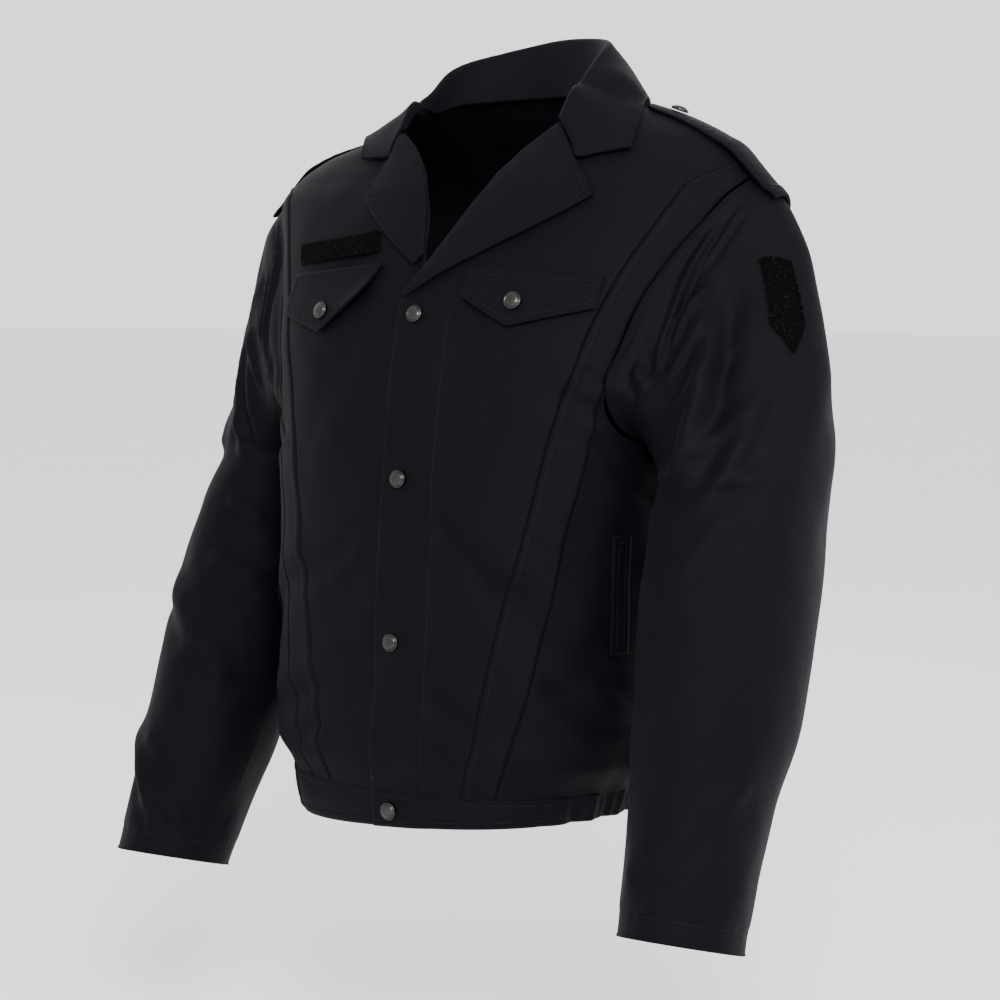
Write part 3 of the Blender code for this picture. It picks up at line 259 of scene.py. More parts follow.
# Sleeves: width, depth, then places of around and along
SLEEVE_LEFT_FOLDS = (
    (0.0050, 0.0058, ((22.0, 0.030), (40.5, 0.045), (54.5, 0.085), (67.0, 0.125), (80.5, 0.175), (93.0, 0.220), (104.0, 0.280), (110.5, 0.335))),
    (0.0036, 0.0030, ((19.0, 0.060), (34.5, 0.080), (48.0, 0.110), (60.0, 0.150))),
    (0.0055, 0.0036, ((49.0, 0.215), (60.0, 0.215), (82.0, 0.235), (96.0, 0.300))),
    (0.0070, 0.0036, ((62.0, 0.300), (76.0, 0.330), (90.0, 0.365), (104.0, 0.390))),
    (0.0045, 0.0052, ((110.0, 0.120), (112.5, 0.190), (114.5, 0.335))),
    (0.0080, 0.0026, ((52.0, 0.430), (74.0, 0.480), (100.0, 0.560), (118.0, 0.600))),
    (0.0100, 0.0026, ((40.0, 0.640), (62.0, 0.700), (92.0, 0.800), (116.0, 0.860))),
    (0.0110, 0.0024, ((36.0, 0.900), (66.0, 0.960), (98.0, 1.060), (124.0, 1.090))),
    (0.0100, 0.0022, ((60.0, 1.180), (90.0, 1.240), (124.0, 1.260))),
    (0.0090, 0.0020, ((70.0, 1.420), (100.0, 1.500), (136.0, 1.560))),
    (0.0080, 0.0022, ((53.0, 1.865), (83.0, 1.900), (104.0, 1.940))),
    (0.0080, 0.0016, ((20.0, 1.640), (44.0, 1.700), (66.0, 1.720))),
    (0.0060, 0.0042, ((-30.0, 0.060), (-52.0, 0.130), (-76.0, 0.230), (-96.0, 0.330))),
    (0.0060, 0.0034, ((-44.0, 0.260), (-70.0, 0.350), (-100.0, 0.480))),
    (0.0090, 0.0030, ((-30.0, 0.640), (-64.0, 0.760), (-104.0, 0.860), (-140.0, 0.880))),
    (0.0090, 0.0030, ((-50.0, 0.980), (-90.0, 1.080), (-136.0, 1.120))),
    (0.0090, 0.0026, ((-64.0, 1.230), (-104.0, 1.280), (-146.0, 1.260))),
    (0.0080, 0.0022, ((-40.0, 1.480), (-84.0, 1.560), (-120.0, 1.600))),
    (0.0070, 0.0036, ((140.0, 0.500), (165.0, 0.640), (190.0, 0.700))),
    (0.0080, 0.0032, ((136.0, 0.900), (170.0, 1.060), (206.0, 1.080))),
    (0.0080, 0.0026, ((150.0, 1.300), (184.0, 1.380), (216.0, 1.360))),
)
SLEEVE_RIGHT_FOLDS = (
    (0.0050, 0.0050, ((20.0, 0.030), (46.0, 0.070), (66.0, 0.130), (88.0, 0.220), (106.0, 0.320))),
    (0.0055, 0.0034, ((40.0, 0.180), (68.0, 0.230), (94.0, 0.340))),
    (0.0070, 0.0034, ((50.0, 0.360), (80.0, 0.430), (110.0, 0.540))),
    (0.0045, 0.0046, ((108.0, 0.120), (114.0, 0.210), (116.0, 0.330))),
    (0.0100, 0.0026, ((44.0, 0.700), (74.0, 0.780), (108.0, 0.880))),
    (0.0080, 0.0036, ((92.0, 1.090), (110.0, 1.120), (134.0, 1.170))),
    (0.0080, 0.0040, ((88.0, 1.235), (98.0, 1.255), (121.5, 1.290), (146.0, 1.325))),
    (0.0100, 0.0026, ((40.0, 1.300), (66.0, 1.360), (90.0, 1.380))),
    (0.0090, 0.0030, ((96.0, 1.440), (109.0, 1.480), (136.5, 1.600))),
    (0.0070, 0.0034, ((86.0, 1.820), (95.5, 1.850), (116.5, 1.890), (138.5, 1.930))),
    (0.0070, 0.0024, ((64.0, 1.720), (90.0, 1.760), (120.0, 1.780))),
    (0.0060, 0.0042, ((-30.0, 0.060), (-56.0, 0.140), (-80.0, 0.250), (-100.0, 0.360))),
    (0.0090, 0.0030, ((-34.0, 0.620), (-70.0, 0.740), (-110.0, 0.840))),
    (0.0090, 0.0030, ((-46.0, 0.960), (-88.0, 1.060), (-132.0, 1.100))),
    (0.0090, 0.0026, ((-60.0, 1.240), (-100.0, 1.300), (-144.0, 1.280))),
    (0.0070, 0.0034, ((140.0, 0.520), (164.0, 0.660), (188.0, 0.700))),
    (0.0080, 0.0030, ((138.0, 0.920), (172.0, 1.080), (208.0, 1.090))),
)

# Trims on the body: turn in degrees and height of each corner
FLAP_LEFT = ((20.0, -0.0985), (58.0, -0.1050), (56.5, -0.1300), (35.0, -0.1440), (18.0, -0.1210))
FLAP_RIGHT = ((-21.5, -0.0945), (-56.0, -0.1020), (-57.0, -0.1350), (-39.0, -0.1500), (-25.0, -0.1190))
FLAP_LEFT_SNAP = (36.3, -0.1255)
FLAP_RIGHT_SNAP = (-39.5, -0.1330)
NAME_STRIP = ((-58.5, -0.0770), (-28.5, -0.0672), (-25.3, -0.0850), (-56.0, -0.0945))
ARM_PATCH = ((16.5, 0.325), (33.0, 0.255), (38.5, 0.470), (27.0, 0.590), (17.5, 0.530))
WELT_FRONT = 64.5
WELT_TOP = -0.303
WELT_BOTTOM = -0.395
WELT_WIDTH = 0.018

# Slow unevenness of hanging cloth: waves per metre across and along, start angle, height
RUMPLE_WAVES = (
    (9.0, 5.0, 0.4, 0.00050), (-6.0, 11.0, 1.9, 0.00042), (17.0, -9.0, 3.1, 0.00026),
    (4.0, 19.0, 5.2, 0.00022), (-23.0, 7.0, 0.9, 0.00016), (31.0, 21.0, 2.6, 0.00010),
)


# ---- shapes of the jacket's form ----

def smooth_table(rows, at):
    """Columns of a table at values of its first column, by a cubic that keeps rises monotone."""
    table = np.array(sorted(rows), float)
    knots, values = table[:, 0], table[:, 1:]
    steps = np.diff(knots)[:, None]
    slopes = np.diff(values, axis=0) / steps
    tangents = np.zeros_like(values)
    same = slopes[:-1] * slopes[1:] > 0
    total = np.where(same, slopes[:-1] + slopes[1:], 1.0)
    tangents[1:-1] = np.where(same, 2 * slopes[:-1] * slopes[1:] / total, 0.0)
    tangents[0], tangents[-1] = slopes[0], slopes[-1]
    at = np.clip(np.asarray(at, float), knots[0], knots[-1])
    low = np.clip(np.searchsorted(knots, at) - 1, 0, len(knots) - 2)
    span = (knots[low + 1] - knots[low])[..., None]
    t = (at - knots[low])[..., None] / span
    return (
        values[low] * (1 + 2 * t) * (1 - t) ** 2
        + values[low + 1] * t**2 * (3 - 2 * t)
        + span * tangents[low] * t * (1 - t) ** 2
        + span * tangents[low + 1] * t**2 * (t - 1)
    )


def smooth_step(value):
    """0 below 0, 1 above 1, and three squares less two cubes between."""
    value = np.clip(value, 0.0, 1.0)
    return value * value * (3 - 2 * value)


def unit(vectors):
    """Each vector divided by its length."""
    return vectors / np.maximum(np.linalg.norm(vectors, axis=-1, keepdims=True), 1e-12)


def crease(u, v, ends, width):
    """Bell across a straight line in a flat map, e to the minus square of distance over width, fading at both ends."""
    start, end = np.array(ends[0]), np.array(ends[1])
    along = end - start
    length = np.hypot(*along)
    along = along / length
    du, dv = u - start[0], v - start[1]
    forward = (du * along[0] + dv * along[1]) / length
    across = -du * along[1] + dv * along[0]
    fade = smooth_step(forward / 0.3 + 0.3) * smooth_step((1 - forward) / 0.3 + 0.3)
    return np.exp(-((across / width) ** 2)) * fade


def fold(u, v, places, width, depth):
    """Fold along a broken line: a bell-shaped trough on it, less a lower bell beside it, shallower towards both ends."""
    places = np.array(places, float)
    nearest = np.full(u.shape, 1e9)
    signed, forward = np.zeros(u.shape), np.zeros(u.shape)
    steps = np.diff(places, axis=0)
    lengths = np.hypot(steps[:, 0], steps[:, 1])
    for (x, y), (dx, dy), length, begin in zip(places[:-1], steps, lengths, np.cumsum(lengths) - lengths):
        t = np.clip(((u - x) * dx + (v - y) * dy) / length**2, 0, 1)
        du, dv = u - x - t * dx, v - y - t * dy
        distance = np.hypot(du, dv)
        closer = distance < nearest
        side = np.sign(dx * dv - dy * du)
        nearest = np.where(closer, distance, nearest)
        signed = np.where(closer, side * distance, signed)
        forward = np.where(closer, begin + t * length, forward)
    share = forward / lengths.sum()
    fade = smooth_step(share / 0.28) * smooth_step((1 - share) / 0.28)
    trough = np.exp(-((signed / width) ** 2))
    beside = np.exp(-(((signed - 1.7 * width) / (1.2 * width)) ** 2))
    other = np.exp(-(((signed + 1.9 * width) / (1.3 * width)) ** 2))
    return depth * fade * (0.55 * beside + 0.3 * other - trough)


def rumple(u, v):
    """Sum of a few long sine waves over a flat map, each in its own direction."""
    return sum(high * np.sin(2 * math.pi * (a * u + b * v) + start) for a, b, start, high in RUMPLE_WAVES)


def torso_relief(turn, height):
    """Outward move of the torso's cloth: its creases, each with a low ridge beside it."""
    girth = 0.15
    degrees = (np.degrees(turn) + 180) % 360 - 180
    relief = np.zeros_like(turn)
    for first, low, last, high, width, depth in TORSO_CREASES:
        ends = ((math.radians(first) * girth, low), (math.radians(last) * girth, high))
        wrapped = degrees + np.where((last > 180) & (degrees < 0), 360, 0)
        relief -= depth * crease(np.radians(wrapped) * girth, height, ends, width)
        relief += 0.6 * depth * crease(np.radians(wrapped) * girth, height - 1.6 * width, ends, width)
    return relief


def fine_relief(turn, height):
    """Finer outward move of the torso's panels: listed folds, gathers above the band and slow unevenness."""
    girth = 0.15
    degrees = (np.degrees(turn) + 180) % 360 - 180
    relief = rumple(turn * girth, height) * smooth_step((0.03 - height) / 0.06)
    for width, depth, places in TORSO_FOLDS:
        far = max(place[0] for place in places) > 180
        wrapped = degrees + np.where(far & (degrees < 0), 360, 0)
        flat = [(math.radians(a) * girth, b) for a, b in places]
        relief += fold(np.radians(wrapped) * girth, height, flat, width, 1.3 * depth)
    folded = np.abs(degrees)
    share = (folded - GATHER_FROM) / (GATHER_TO - GATHER_FROM)
    window = smooth_step(share * 5) * smooth_step((1 - share) * 5)
    above = height - BAND_TOP
    wave = np.cos(2 * math.pi * GATHER_WAVES * share) + 0.5 * np.cos(2 * math.pi * 17.3 * share + 1.1 * np.sin(9 * share))
    relief += 0.0011 * window * wave * np.exp(-((above / 0.030) ** 2))
    near_neck = smooth_step((height - 0.005) / 0.02)
    return relief * (1 - near_neck)


def shoulder_shift(x, y, height):
    """The left shoulder sits higher along its top, and the right one lower beside the neck: bells across the shoulder line."""
    offset = np.abs(y - STRAP_CENTRE_Y)
    rise = LEFT_RISE * smooth_step((x - 0.09) / 0.07) * np.exp(-((offset / 0.035) ** 2))
    drop = RIGHT_DROP * smooth_step((-x - 0.058) / 0.030) * smooth_step((0.215 + x) / 0.10)
    drop = drop * np.exp(-((offset / 0.060) ** 2))
    return (rise - drop) * smooth_step((height + 0.16) / 0.10)


def body_plain(turn, height, relief=0.0):
    """Torso point: a rounded section, unlike front and back, whose powers of x and y over its half sizes add up to one."""
    turn, height = np.broadcast_arrays(np.asarray(turn, float), np.asarray(height, float))
    width, front, back, centre_y, square = np.moveaxis(smooth_table(BODY_ROWS, height), -1, 0)
    ahead, aside = np.cos(turn), np.sin(turn)
    depth = np.where(ahead > 0, front, back)
    reach = (np.abs(ahead / depth) ** square + np.abs(aside / width) ** square) ** (-1 / square) + relief
    x, y = reach * aside, centre_y - reach * ahead
    return np.stack([x, y, height + shoulder_shift(x, y, height)], -1)


def body_normal(turn, height):
    """Outward normal of the plain torso: the cross product of its steps across and up."""
    step = 1e-3
    across = body_plain(turn + step, height) - body_plain(turn - step, height)
    upward = body_plain(turn, height + step) - body_plain(turn, height - step)
    return unit(np.cross(across, upward))


def body(turn, height, lift=0.0, fine=0.0):
    """Torso point with its creases, moved out along the normal by a lift and by a share of the finer folds."""
    turn, height = np.broadcast_arrays(np.asarray(turn, float), np.asarray(height, float))
    points = body_plain(turn, height, torso_relief(turn, height) + fine * fine_relief(turn, height))
    return points + np.asarray(lift)[..., None] * body_normal(turn, height)


def closed_loop(rows, around):
    """Closed cubic through the rows, each span shaped by its four nearest, at a share of the loop from 0 to 1."""
    knots = np.array(rows, float)
    count = len(knots)
    place = np.asarray(around, float) * count
    low = np.floor(place).astype(int)
    t = (place - low)[..., None]
    a, b, c, d = (knots[(low + k) % count] for k in (-1, 0, 1, 2))
    return 0.5 * (2 * b + (c - a) * t + (2 * a - 5 * b + 4 * c - d) * t**2 + (3 * b - a - 3 * c + d) * t**3)


def finer(points, columns, rows):
    """The same grid with more columns and rows: cubics through its points, first along one axis and then the other."""
    for axis, count in ((0, columns), (1, rows)):
        knots = np.moveaxis(points, axis, 0)
        place = np.linspace(0, len(knots) - 1, count)
        low = np.clip(np.floor(place).astype(int), 0, len(knots) - 2)
        t = (place - low).reshape(-1, *([1] * (knots.ndim - 1)))
        before, after = knots[np.maximum(low - 1, 0)], knots[np.minimum(low + 2, len(knots) - 1)]
        b, c = knots[low], knots[low + 1]
        curve = 0.5 * (2 * b + (c - before) * t + (2 * before - 5 * b + 4 * c - after) * t**2 + (3 * b - before - 3 * c + after) * t**3)
        points = np.moveaxis(curve, 0, axis)
    return points


def armhole_turn(heights, back):
    """Turn of the armhole's front or back edge at a height, read off its loop."""
    last, count = (ARMHOLE_BACK_CORNER if back else ARMHOLE_FRONT_CORNER), len(ARMHOLE_ROWS)
    shares = np.linspace(last, count, 400) / count if back else np.linspace(0, last, 400) / count
    edge = closed_loop(ARMHOLE_ROWS, shares)
    order = np.argsort(edge[:, 1])
    return np.interp(heights, edge[order, 1], edge[order, 0])


def seam_turn(rows, heights):
    """Turn of a seam line at a height."""
    return smooth_table(rows, heights)[..., 0]


def grid_normals(points):
    """Normals of an open grid: the cross product of its slopes across and up."""
    return unit(np.cross(np.gradient(points, axis=0), np.gradient(points, axis=1)))


def edge_distances(points):
    """Distance over the cloth of each grid point from the first and last columns and the first and last rows."""
    across = np.concatenate([np.zeros_like(points[:1, :, 0]), np.cumsum(np.linalg.norm(np.diff(points, axis=0), axis=-1), axis=0)])
    upward = np.concatenate([np.zeros_like(points[:, :1, 0]), np.cumsum(np.linalg.norm(np.diff(points, axis=1), axis=-1), axis=1)], axis=1)
    return {"start": across, "end": across[-1:] - across, "bottom": upward, "top": upward[:, -1:] - upward}


def pucker(distance, run):
    """Small waves of the cloth beside a line of thread: a bell across the line times an uneven sine along it."""
    wave = np.sin(2 * math.pi * run / 0.0105 + 1.7 * np.sin(run * 61.0)) + 0.5 * np.sin(2 * math.pi * run / 0.0063 + 0.8)
    return 0.00016 * wave * np.exp(-(((distance - EDGE_STITCH) / 0.004) ** 2))


def sewn_edge(distances, edge, raised):
    """Relief beside one sewn edge: cloth rolls in at the seam, a doubled allowance stands up, and thread pulls it in."""
    distance = distances[edge]
    run = distances["bottom"] if edge in ("start", "end") else distances["start"]
    relief = -0.0011 * np.exp(-((distance / 0.0012) ** 2))
    relief += raised * (1 - smooth_step((distance - 0.0072) / 0.0016))
    relief -= 0.00022 * np.exp(-(((distance - EDGE_STITCH) / 0.0009) ** 2)) * (raised > 0)
    return relief + pucker(distance, run) * (raised > 0)


def free_edge(distances, edges, stitched=True):
    """Relief of a turned leaf: its free edges roll down over 2 mm, with a groove where the thread runs inside them."""
    nearest = np.minimum.reduce([distances[edge] for edge in edges])
    relief = -0.0007 * (1 - smooth_step(nearest / 0.0022))
    if stitched:
        relief -= 0.00026 * np.exp(-(((nearest - EDGE_STITCH) / 0.0010) ** 2))
        relief += pucker(nearest, distances["start"] + distances["bottom"])
    return relief


def smoothed(vectors, passes):
    """Unit vectors averaged with their grid neighbours a number of times."""
    for _ in range(passes):
        for axis in (0, 1):
            forward = np.moveaxis(vectors, axis, 0)
            wide = np.concatenate([forward[:1], forward, forward[-1:]])
            vectors = np.moveaxis((wide[:-2] + 2 * forward + wide[2:]) / 4, 0, axis)
    return unit(vectors)


def evenly_spaced(points, rows):
    """The same grid with rows an equal length apart along each column."""
    run = edge_distances(points)["bottom"]
    wanted = np.linspace(0, 1, rows)
    columns = [
        np.stack([np.interp(wanted * length[-1], length, column[:, k]) for k in range(3)], -1)
        for column, length in zip(points, run)
    ]
    return np.array(columns)


def eased(points, passes):
    """The grid's inner points averaged with their neighbours a number of times; its border stays."""
    for _ in range(passes):
        inner = (points[:-2, 1:-1] + points[2:, 1:-1] + points[1:-1, :-2] + points[1:-1, 2:]) / 8
        points = points.copy()
        points[1:-1, 1:-1] = inner + points[1:-1, 1:-1] / 2
    return points


def with_allowance(points, edges):
    """The grid with one more row or column at each sewn edge: the cloth turned in behind the seam, and a little past it."""
    for edge in edges:
        axis = 0 if edge in ("start", "end") else 1
        grid, normals = np.moveaxis(points, axis, 0), np.moveaxis(grid_normals(points), axis, 0)
        if edge in ("end", "top"):
            grid, normals = grid[::-1], normals[::-1]
        past, behind = (0.0130, 0.0034) if edge == "bottom" else (0.0016, 0.0028)
        turned = grid[0] + unit(grid[0] - grid[3]) * past - smoothed(normals, 4)[3] * behind
        grid = np.concatenate([turned[None], grid])
        points = np.moveaxis(grid[::-1] if edge in ("end", "top") else grid, 0, axis)
    return points


# ---- finishes ----

class Flow:
    """A node's output; sums, products and powers of it add Math nodes."""

    def __init__(self, finish, socket):
        self.finish, self.socket = finish, socket

    def math(self, operation, first, second=0.0):
        return self.finish.add("ShaderNodeMath", {"operation": operation}, {0: first, 1: second})

    def __add__(self, other):
        return self.math("ADD", self, other)

    def __radd__(self, other):
        return self.math("ADD", other, self)

    def __sub__(self, other):
        return self.math("SUBTRACT", self, other)

    def __rsub__(self, other):
        return self.math("SUBTRACT", other, self)

    def __mul__(self, other):
        return self.math("MULTIPLY", self, other)

    def __rmul__(self, other):
        return self.math("MULTIPLY", other, self)

    def __pow__(self, other):
        return self.math("POWER", self, other)

    def sine(self):
        return self.math("SINE", self)

    def above(self, limit):
        return self.math("GREATER_THAN", self, limit)


class Finish:
    """One material: add() makes any node from its type, its settings and the values or links of its sockets."""

    def __init__(self, name, colour):
        self.material = bpy.data.materials.new(name)
        self.material.use_nodes = True
        self.material.diffuse_color = colour
        self.tree = self.material.node_tree
        self.tree.nodes.clear()

    def add(self, kind, settings=None, sockets=None, out=0):
        node = self.tree.nodes.new(kind)
        for key, value in (settings or {}).items():
            if key == "stops":
                for element, (place, shade) in zip(node.color_ramp.elements, value):
                    element.position, element.color = place, shade
            else:
                setattr(node, key, value)
        for key, value in (sockets or {}).items():
            if isinstance(value, Flow):
                self.tree.links.new(value.socket, node.inputs[key])
            else:
                node.inputs[key].default_value = value
        return Flow(self, node.outputs[out])

    def surface(self, sockets):
        """Principled shader with these sockets, joined to the output."""
        shader = self.add("ShaderNodeBsdfPrincipled", None, sockets)
        output = self.tree.nodes.new("ShaderNodeOutputMaterial")
        self.tree.links.new(shader.socket, output.inputs["Surface"])
        return self.material


def twill_finish(name, dark, light, roughness):
    """Fine diagonal twill: ridges run up to the right over the cloth's own map, with uneven yarn and a slow change of depth."""
    finish = Finish(name, (*dark, 1.0))
    uv = finish.add("ShaderNodeUVMap", {"uv_map": "cloth"})
    across = finish.add("ShaderNodeSeparateXYZ", None, {0: uv}, 0)
    along = finish.add("ShaderNodeSeparateXYZ", None, {0: uv}, 1)
    ridge = ((across * 0.55 + along) * (2 * math.pi / 0.00085)).sine()
    weft = (across * (2 * math.pi / 0.0006)).sine()
    yarn = finish.add("ShaderNodeTexNoise", None, {"Vector": uv, "Scale": 950.0, "Detail": 2.0, "Roughness": 0.6})
    cloudy = finish.add("ShaderNodeTexNoise", None, {"Vector": uv, "Scale": 26.0, "Detail": 4.0, "Roughness": 0.55})
    slow = finish.add("ShaderNodeTexNoise", None, {"Vector": uv, "Scale": 5.0, "Detail": 2.0, "Roughness": 0.5})
    crumple = finish.add("ShaderNodeTexNoise", None, {"Vector": uv, "Scale": 62.0, "Detail": 3.0, "Roughness": 0.5, "Distortion": 0.6})
    tone = ridge * 0.07 + yarn * 0.55 + cloudy * 0.22 + slow * 0.20 - 0.02
    colour = finish.add(
        "ShaderNodeMix", {"data_type": "RGBA"},
        {"Factor": tone, "A": (*dark, 1.0), "B": (*light, 1.0)}, 2,
    )
    bump = finish.add(
        "ShaderNodeBump", None,
        {"Strength": 0.6, "Distance": 0.00024, "Height": ridge * 0.35 + weft * 0.12 + yarn * 0.9 + crumple * 3.2 + cloudy * 4.5},
    )
    return finish.surface({
        "Base Color": colour, "Roughness": yarn * 0.10 + slow * 0.08 + (roughness - 0.09), "Normal": bump,
        "Specular IOR Level": 0.058, "Sheen Weight": 0.014, "Sheen Roughness": 0.40, "Sheen Tint": (0.70, 0.72, 0.95, 1.0),
    })


def pile_finish():
    """Black pile: tight curls as small cells, tufts of uneven height, and a few shiny loops, smoother and with a
    painted highlight that lightens their colour.
    """
    finish = Finish("black_pile", (0.004, 0.004, 0.004, 1.0))
    uv = finish.add("ShaderNodeUVMap", {"uv_map": "cloth"})
    curls = finish.add("ShaderNodeTexVoronoi", None, {"Vector": uv, "Scale": 1300.0})
    tufts = finish.add("ShaderNodeTexNoise", None, {"Vector": uv, "Scale": 320.0, "Detail": 3.0})
    glint = finish.add("ShaderNodeTexNoise", None, {"Vector": uv, "Scale": 700.0, "Detail": 1.0}).above(0.735)
    colour = finish.add(
        "ShaderNodeMix", {"data_type": "RGBA"},
        {"Factor": tufts * 0.9 - 0.2, "A": (0.0004, 0.0004, 0.0004, 1.0), "B": (0.0022, 0.0022, 0.0021, 1.0)}, 2,
    )
    # Painted highlight: the glint spots are mixed towards pale grey in the base colour, besides their lower roughness.
    colour = finish.add(
        "ShaderNodeMix", {"data_type": "RGBA"},
        {"Factor": glint * 0.5, "A": colour, "B": (0.10, 0.10, 0.09, 1.0)}, 2,
    )
    bump = finish.add("ShaderNodeBump", None, {"Strength": 0.9, "Distance": 0.0006, "Height": tufts * 1.4 - curls * 0.8})
    return finish.surface({
        "Base Color": colour, "Roughness": 0.98 - glint * 0.45, "Normal": bump,
        "Specular IOR Level": 0.05, "Sheen Weight": 0.004, "Sheen Roughness": 0.6,
    })


def thread_finish():
    """Sewing thread a shade lighter than the twill: its shade uneven by a wide noise, and its plies a close noise in
    the bump.
    """
    finish = Finish("navy_thread", (0.012, 0.012, 0.019, 1.0))
    place = finish.add("ShaderNodeTexCoord", None, None, 3)
    shade = finish.add("ShaderNodeTexNoise", None, {"Vector": place, "Scale": 90.0, "Detail": 1.0})
    plies = finish.add("ShaderNodeTexNoise", None, {"Vector": place, "Scale": 2600.0, "Detail": 0.0})
    colour = finish.add(
        "ShaderNodeMix", {"data_type": "RGBA"},
        {"Factor": shade, "A": (0.0030, 0.0030, 0.0050, 1.0), "B": (0.0085, 0.0085, 0.0120, 1.0)}, 2,
    )
    bump = finish.add("ShaderNodeBump", None, {"Strength": 0.4, "Distance": 0.0001, "Height": plies})
    return finish.surface({"Base Color": colour, "Roughness": 0.5 + shade * 0.1, "Normal": bump, "Specular IOR Level": 0.14})


def cap_finish():
    """Satin gunmetal: fine scratches, duller where handled."""
    finish = Finish("gunmetal_cap", (0.30, 0.30, 0.32, 1.0))
    place = finish.add("ShaderNodeTexCoord", None, None, 3)
    scratch = finish.add("ShaderNodeTexNoise", None, {"Vector": place, "Scale": 1900.0, "Detail": 3.0, "Roughness": 0.7})
    worn = finish.add("ShaderNodeTexNoise", None, {"Vector": place, "Scale": 260.0, "Detail": 2.0})
    colour = finish.add(
        "ShaderNodeMix", {"data_type": "RGBA"},
        {"Factor": worn, "A": (0.018, 0.018, 0.018, 1.0), "B": (0.060, 0.060, 0.058, 1.0)}, 2,
    )
    bump = finish.add("ShaderNodeBump", None, {"Strength": 0.25, "Distance": 0.00008, "Height": scratch})
    return finish.surface({"Base Color": colour, "Metallic": 1.0, "Roughness": scratch * 0.16 + worn * 0.12 + 0.14, "Normal": bump})


TWILL = twill_finish("navy_twill", (0.0003, 0.0003, 0.0009), (0.0016, 0.0016, 0.0034), 0.64)
PILE = pile_finish()
THREAD = thread_finish()
CAP = cap_finish()


# ---- making pieces ----

def grid_piece(name, points, thickness, material, closed=False):
    """Open or tube-shaped grid made a mesh with its own map in metres, columns running right and rows up, and a wall behind it."""
    columns, rows = points.shape[:2]
    wide = np.concatenate([points, points[:1]]) if closed else points
    distances = edge_distances(wide)
    u = distances["start"] - distances["start"][len(wide) // 2]
    v = np.broadcast_to(distances["bottom"][len(wide) // 2], u.shape)
    chart = np.stack([u, v], -1).reshape(-1, 2)
    index = np.arange(columns * rows).reshape(columns, rows)
    following = np.roll(index, -1, axis=0)
    place = np.arange(len(wide) * rows).reshape(len(wide), rows)
    if not closed:
        index, following = index[:-1], following[:-1]
    quads = np.stack([index[:, :-1], following[:, :-1], following[:, 1:], index[:, 1:]], -1).reshape(-1, 4)
    corners = np.stack([place[:-1, :-1], place[1:, :-1], place[1:, 1:], place[:-1, 1:]], -1).reshape(-1)
    mesh = bpy.data.meshes.new(name)
    mesh.from_pydata(points.reshape(-1, 3).tolist(), [], quads.tolist())
    layer = mesh.uv_layers.new(name="cloth")
    layer.data.foreach_set("uv", chart[corners].astype(np.float32).ravel())
    mesh.materials.append(material)
    mesh.shade_smooth()
    piece = bpy.data.objects.new(name, mesh)
    bpy.context.scene.collection.objects.link(piece)
    wall = piece.modifiers.new("wall", "SOLIDIFY")
    wall.thickness = thickness
    wall.offset = -1
    wall.use_quality_normals = True
    return piece


def flat_cut(points, closed=False):
    """Width, length and area of the cloth before it was sewn: its longest row, its longest column, and the sum of its small faces."""
    wide = np.concatenate([points, points[:1]]) if closed else points
    distances = edge_distances(wide)
    diagonals = wide[1:, 1:] - wide[:-1, :-1], wide[:-1, 1:] - wide[1:, :-1]
    area = float(np.linalg.norm(np.cross(*diagonals), axis=-1).sum() / 2)
    width, length = float(distances["start"][-1].max()), float(distances["bottom"][:, -1].max())
    return width, length, min(area, width * length)


def cloth(node, points, thickness=CLOTH, closed=False, look="twill", cut=None):
    """A sheet of cloth in the place of its node; cut is the grid its flat size is read from, where that isn't its own."""
    piece = grid_piece(f"{node}_cloth", points, thickness, PILE if look == "pile" else TWILL, closed)
    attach(piece, "root")
    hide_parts(node)
    width, length, area = flat_cut(points if cut is None else cut, closed)
    return piece


seams = {"body": [], "sleeves": [], "collar": [], "trims": []}


def inset_line(points, edge, inset, clear=()):
    """Line on a grid at a set distance inside one edge, with the outward normals there; it stops short of other edges."""
    distances = edge_distances(points)
    normals = grid_normals(points)
    distance = distances[edge]
    grid, around = (points, normals) if edge in ("start", "end") else (points.swapaxes(0, 1), normals.swapaxes(0, 1))
    distance = distance if edge in ("start", "end") else distance.T
    others = [distances[name] if edge in ("start", "end") else distances[name].T for name in clear]
    if edge in ("end", "top"):
        grid, around, distance = grid[::-1], around[::-1], distance[::-1]
        others = [other[::-1] for other in others]
    low = np.clip((distance < inset).sum(0) - 1, 0, len(distance) - 2)
    pick = np.arange(grid.shape[1])
    t = (inset - distance[low, pick]) / np.maximum(distance[low + 1, pick] - distance[low, pick], 1e-9)
    t = np.clip(t, 0, 1)[:, None]
    line = grid[low, pick] * (1 - t) + grid[low + 1, pick] * t
    lean = unit(around[low, pick] * (1 - t) + around[low + 1, pick] * t)
    keep = np.ones(len(line), bool)
    for other in others:
        keep &= other[low, pick] >= inset * 0.98
    return line[keep], lean[keep]


def stitch(group, line, lean, lift=0.0):
    """Marks where a row of thread runs; lift raises it off the grid's face."""
    if len(line) > 1:
        seams[group].append((line + lean * lift, lean))


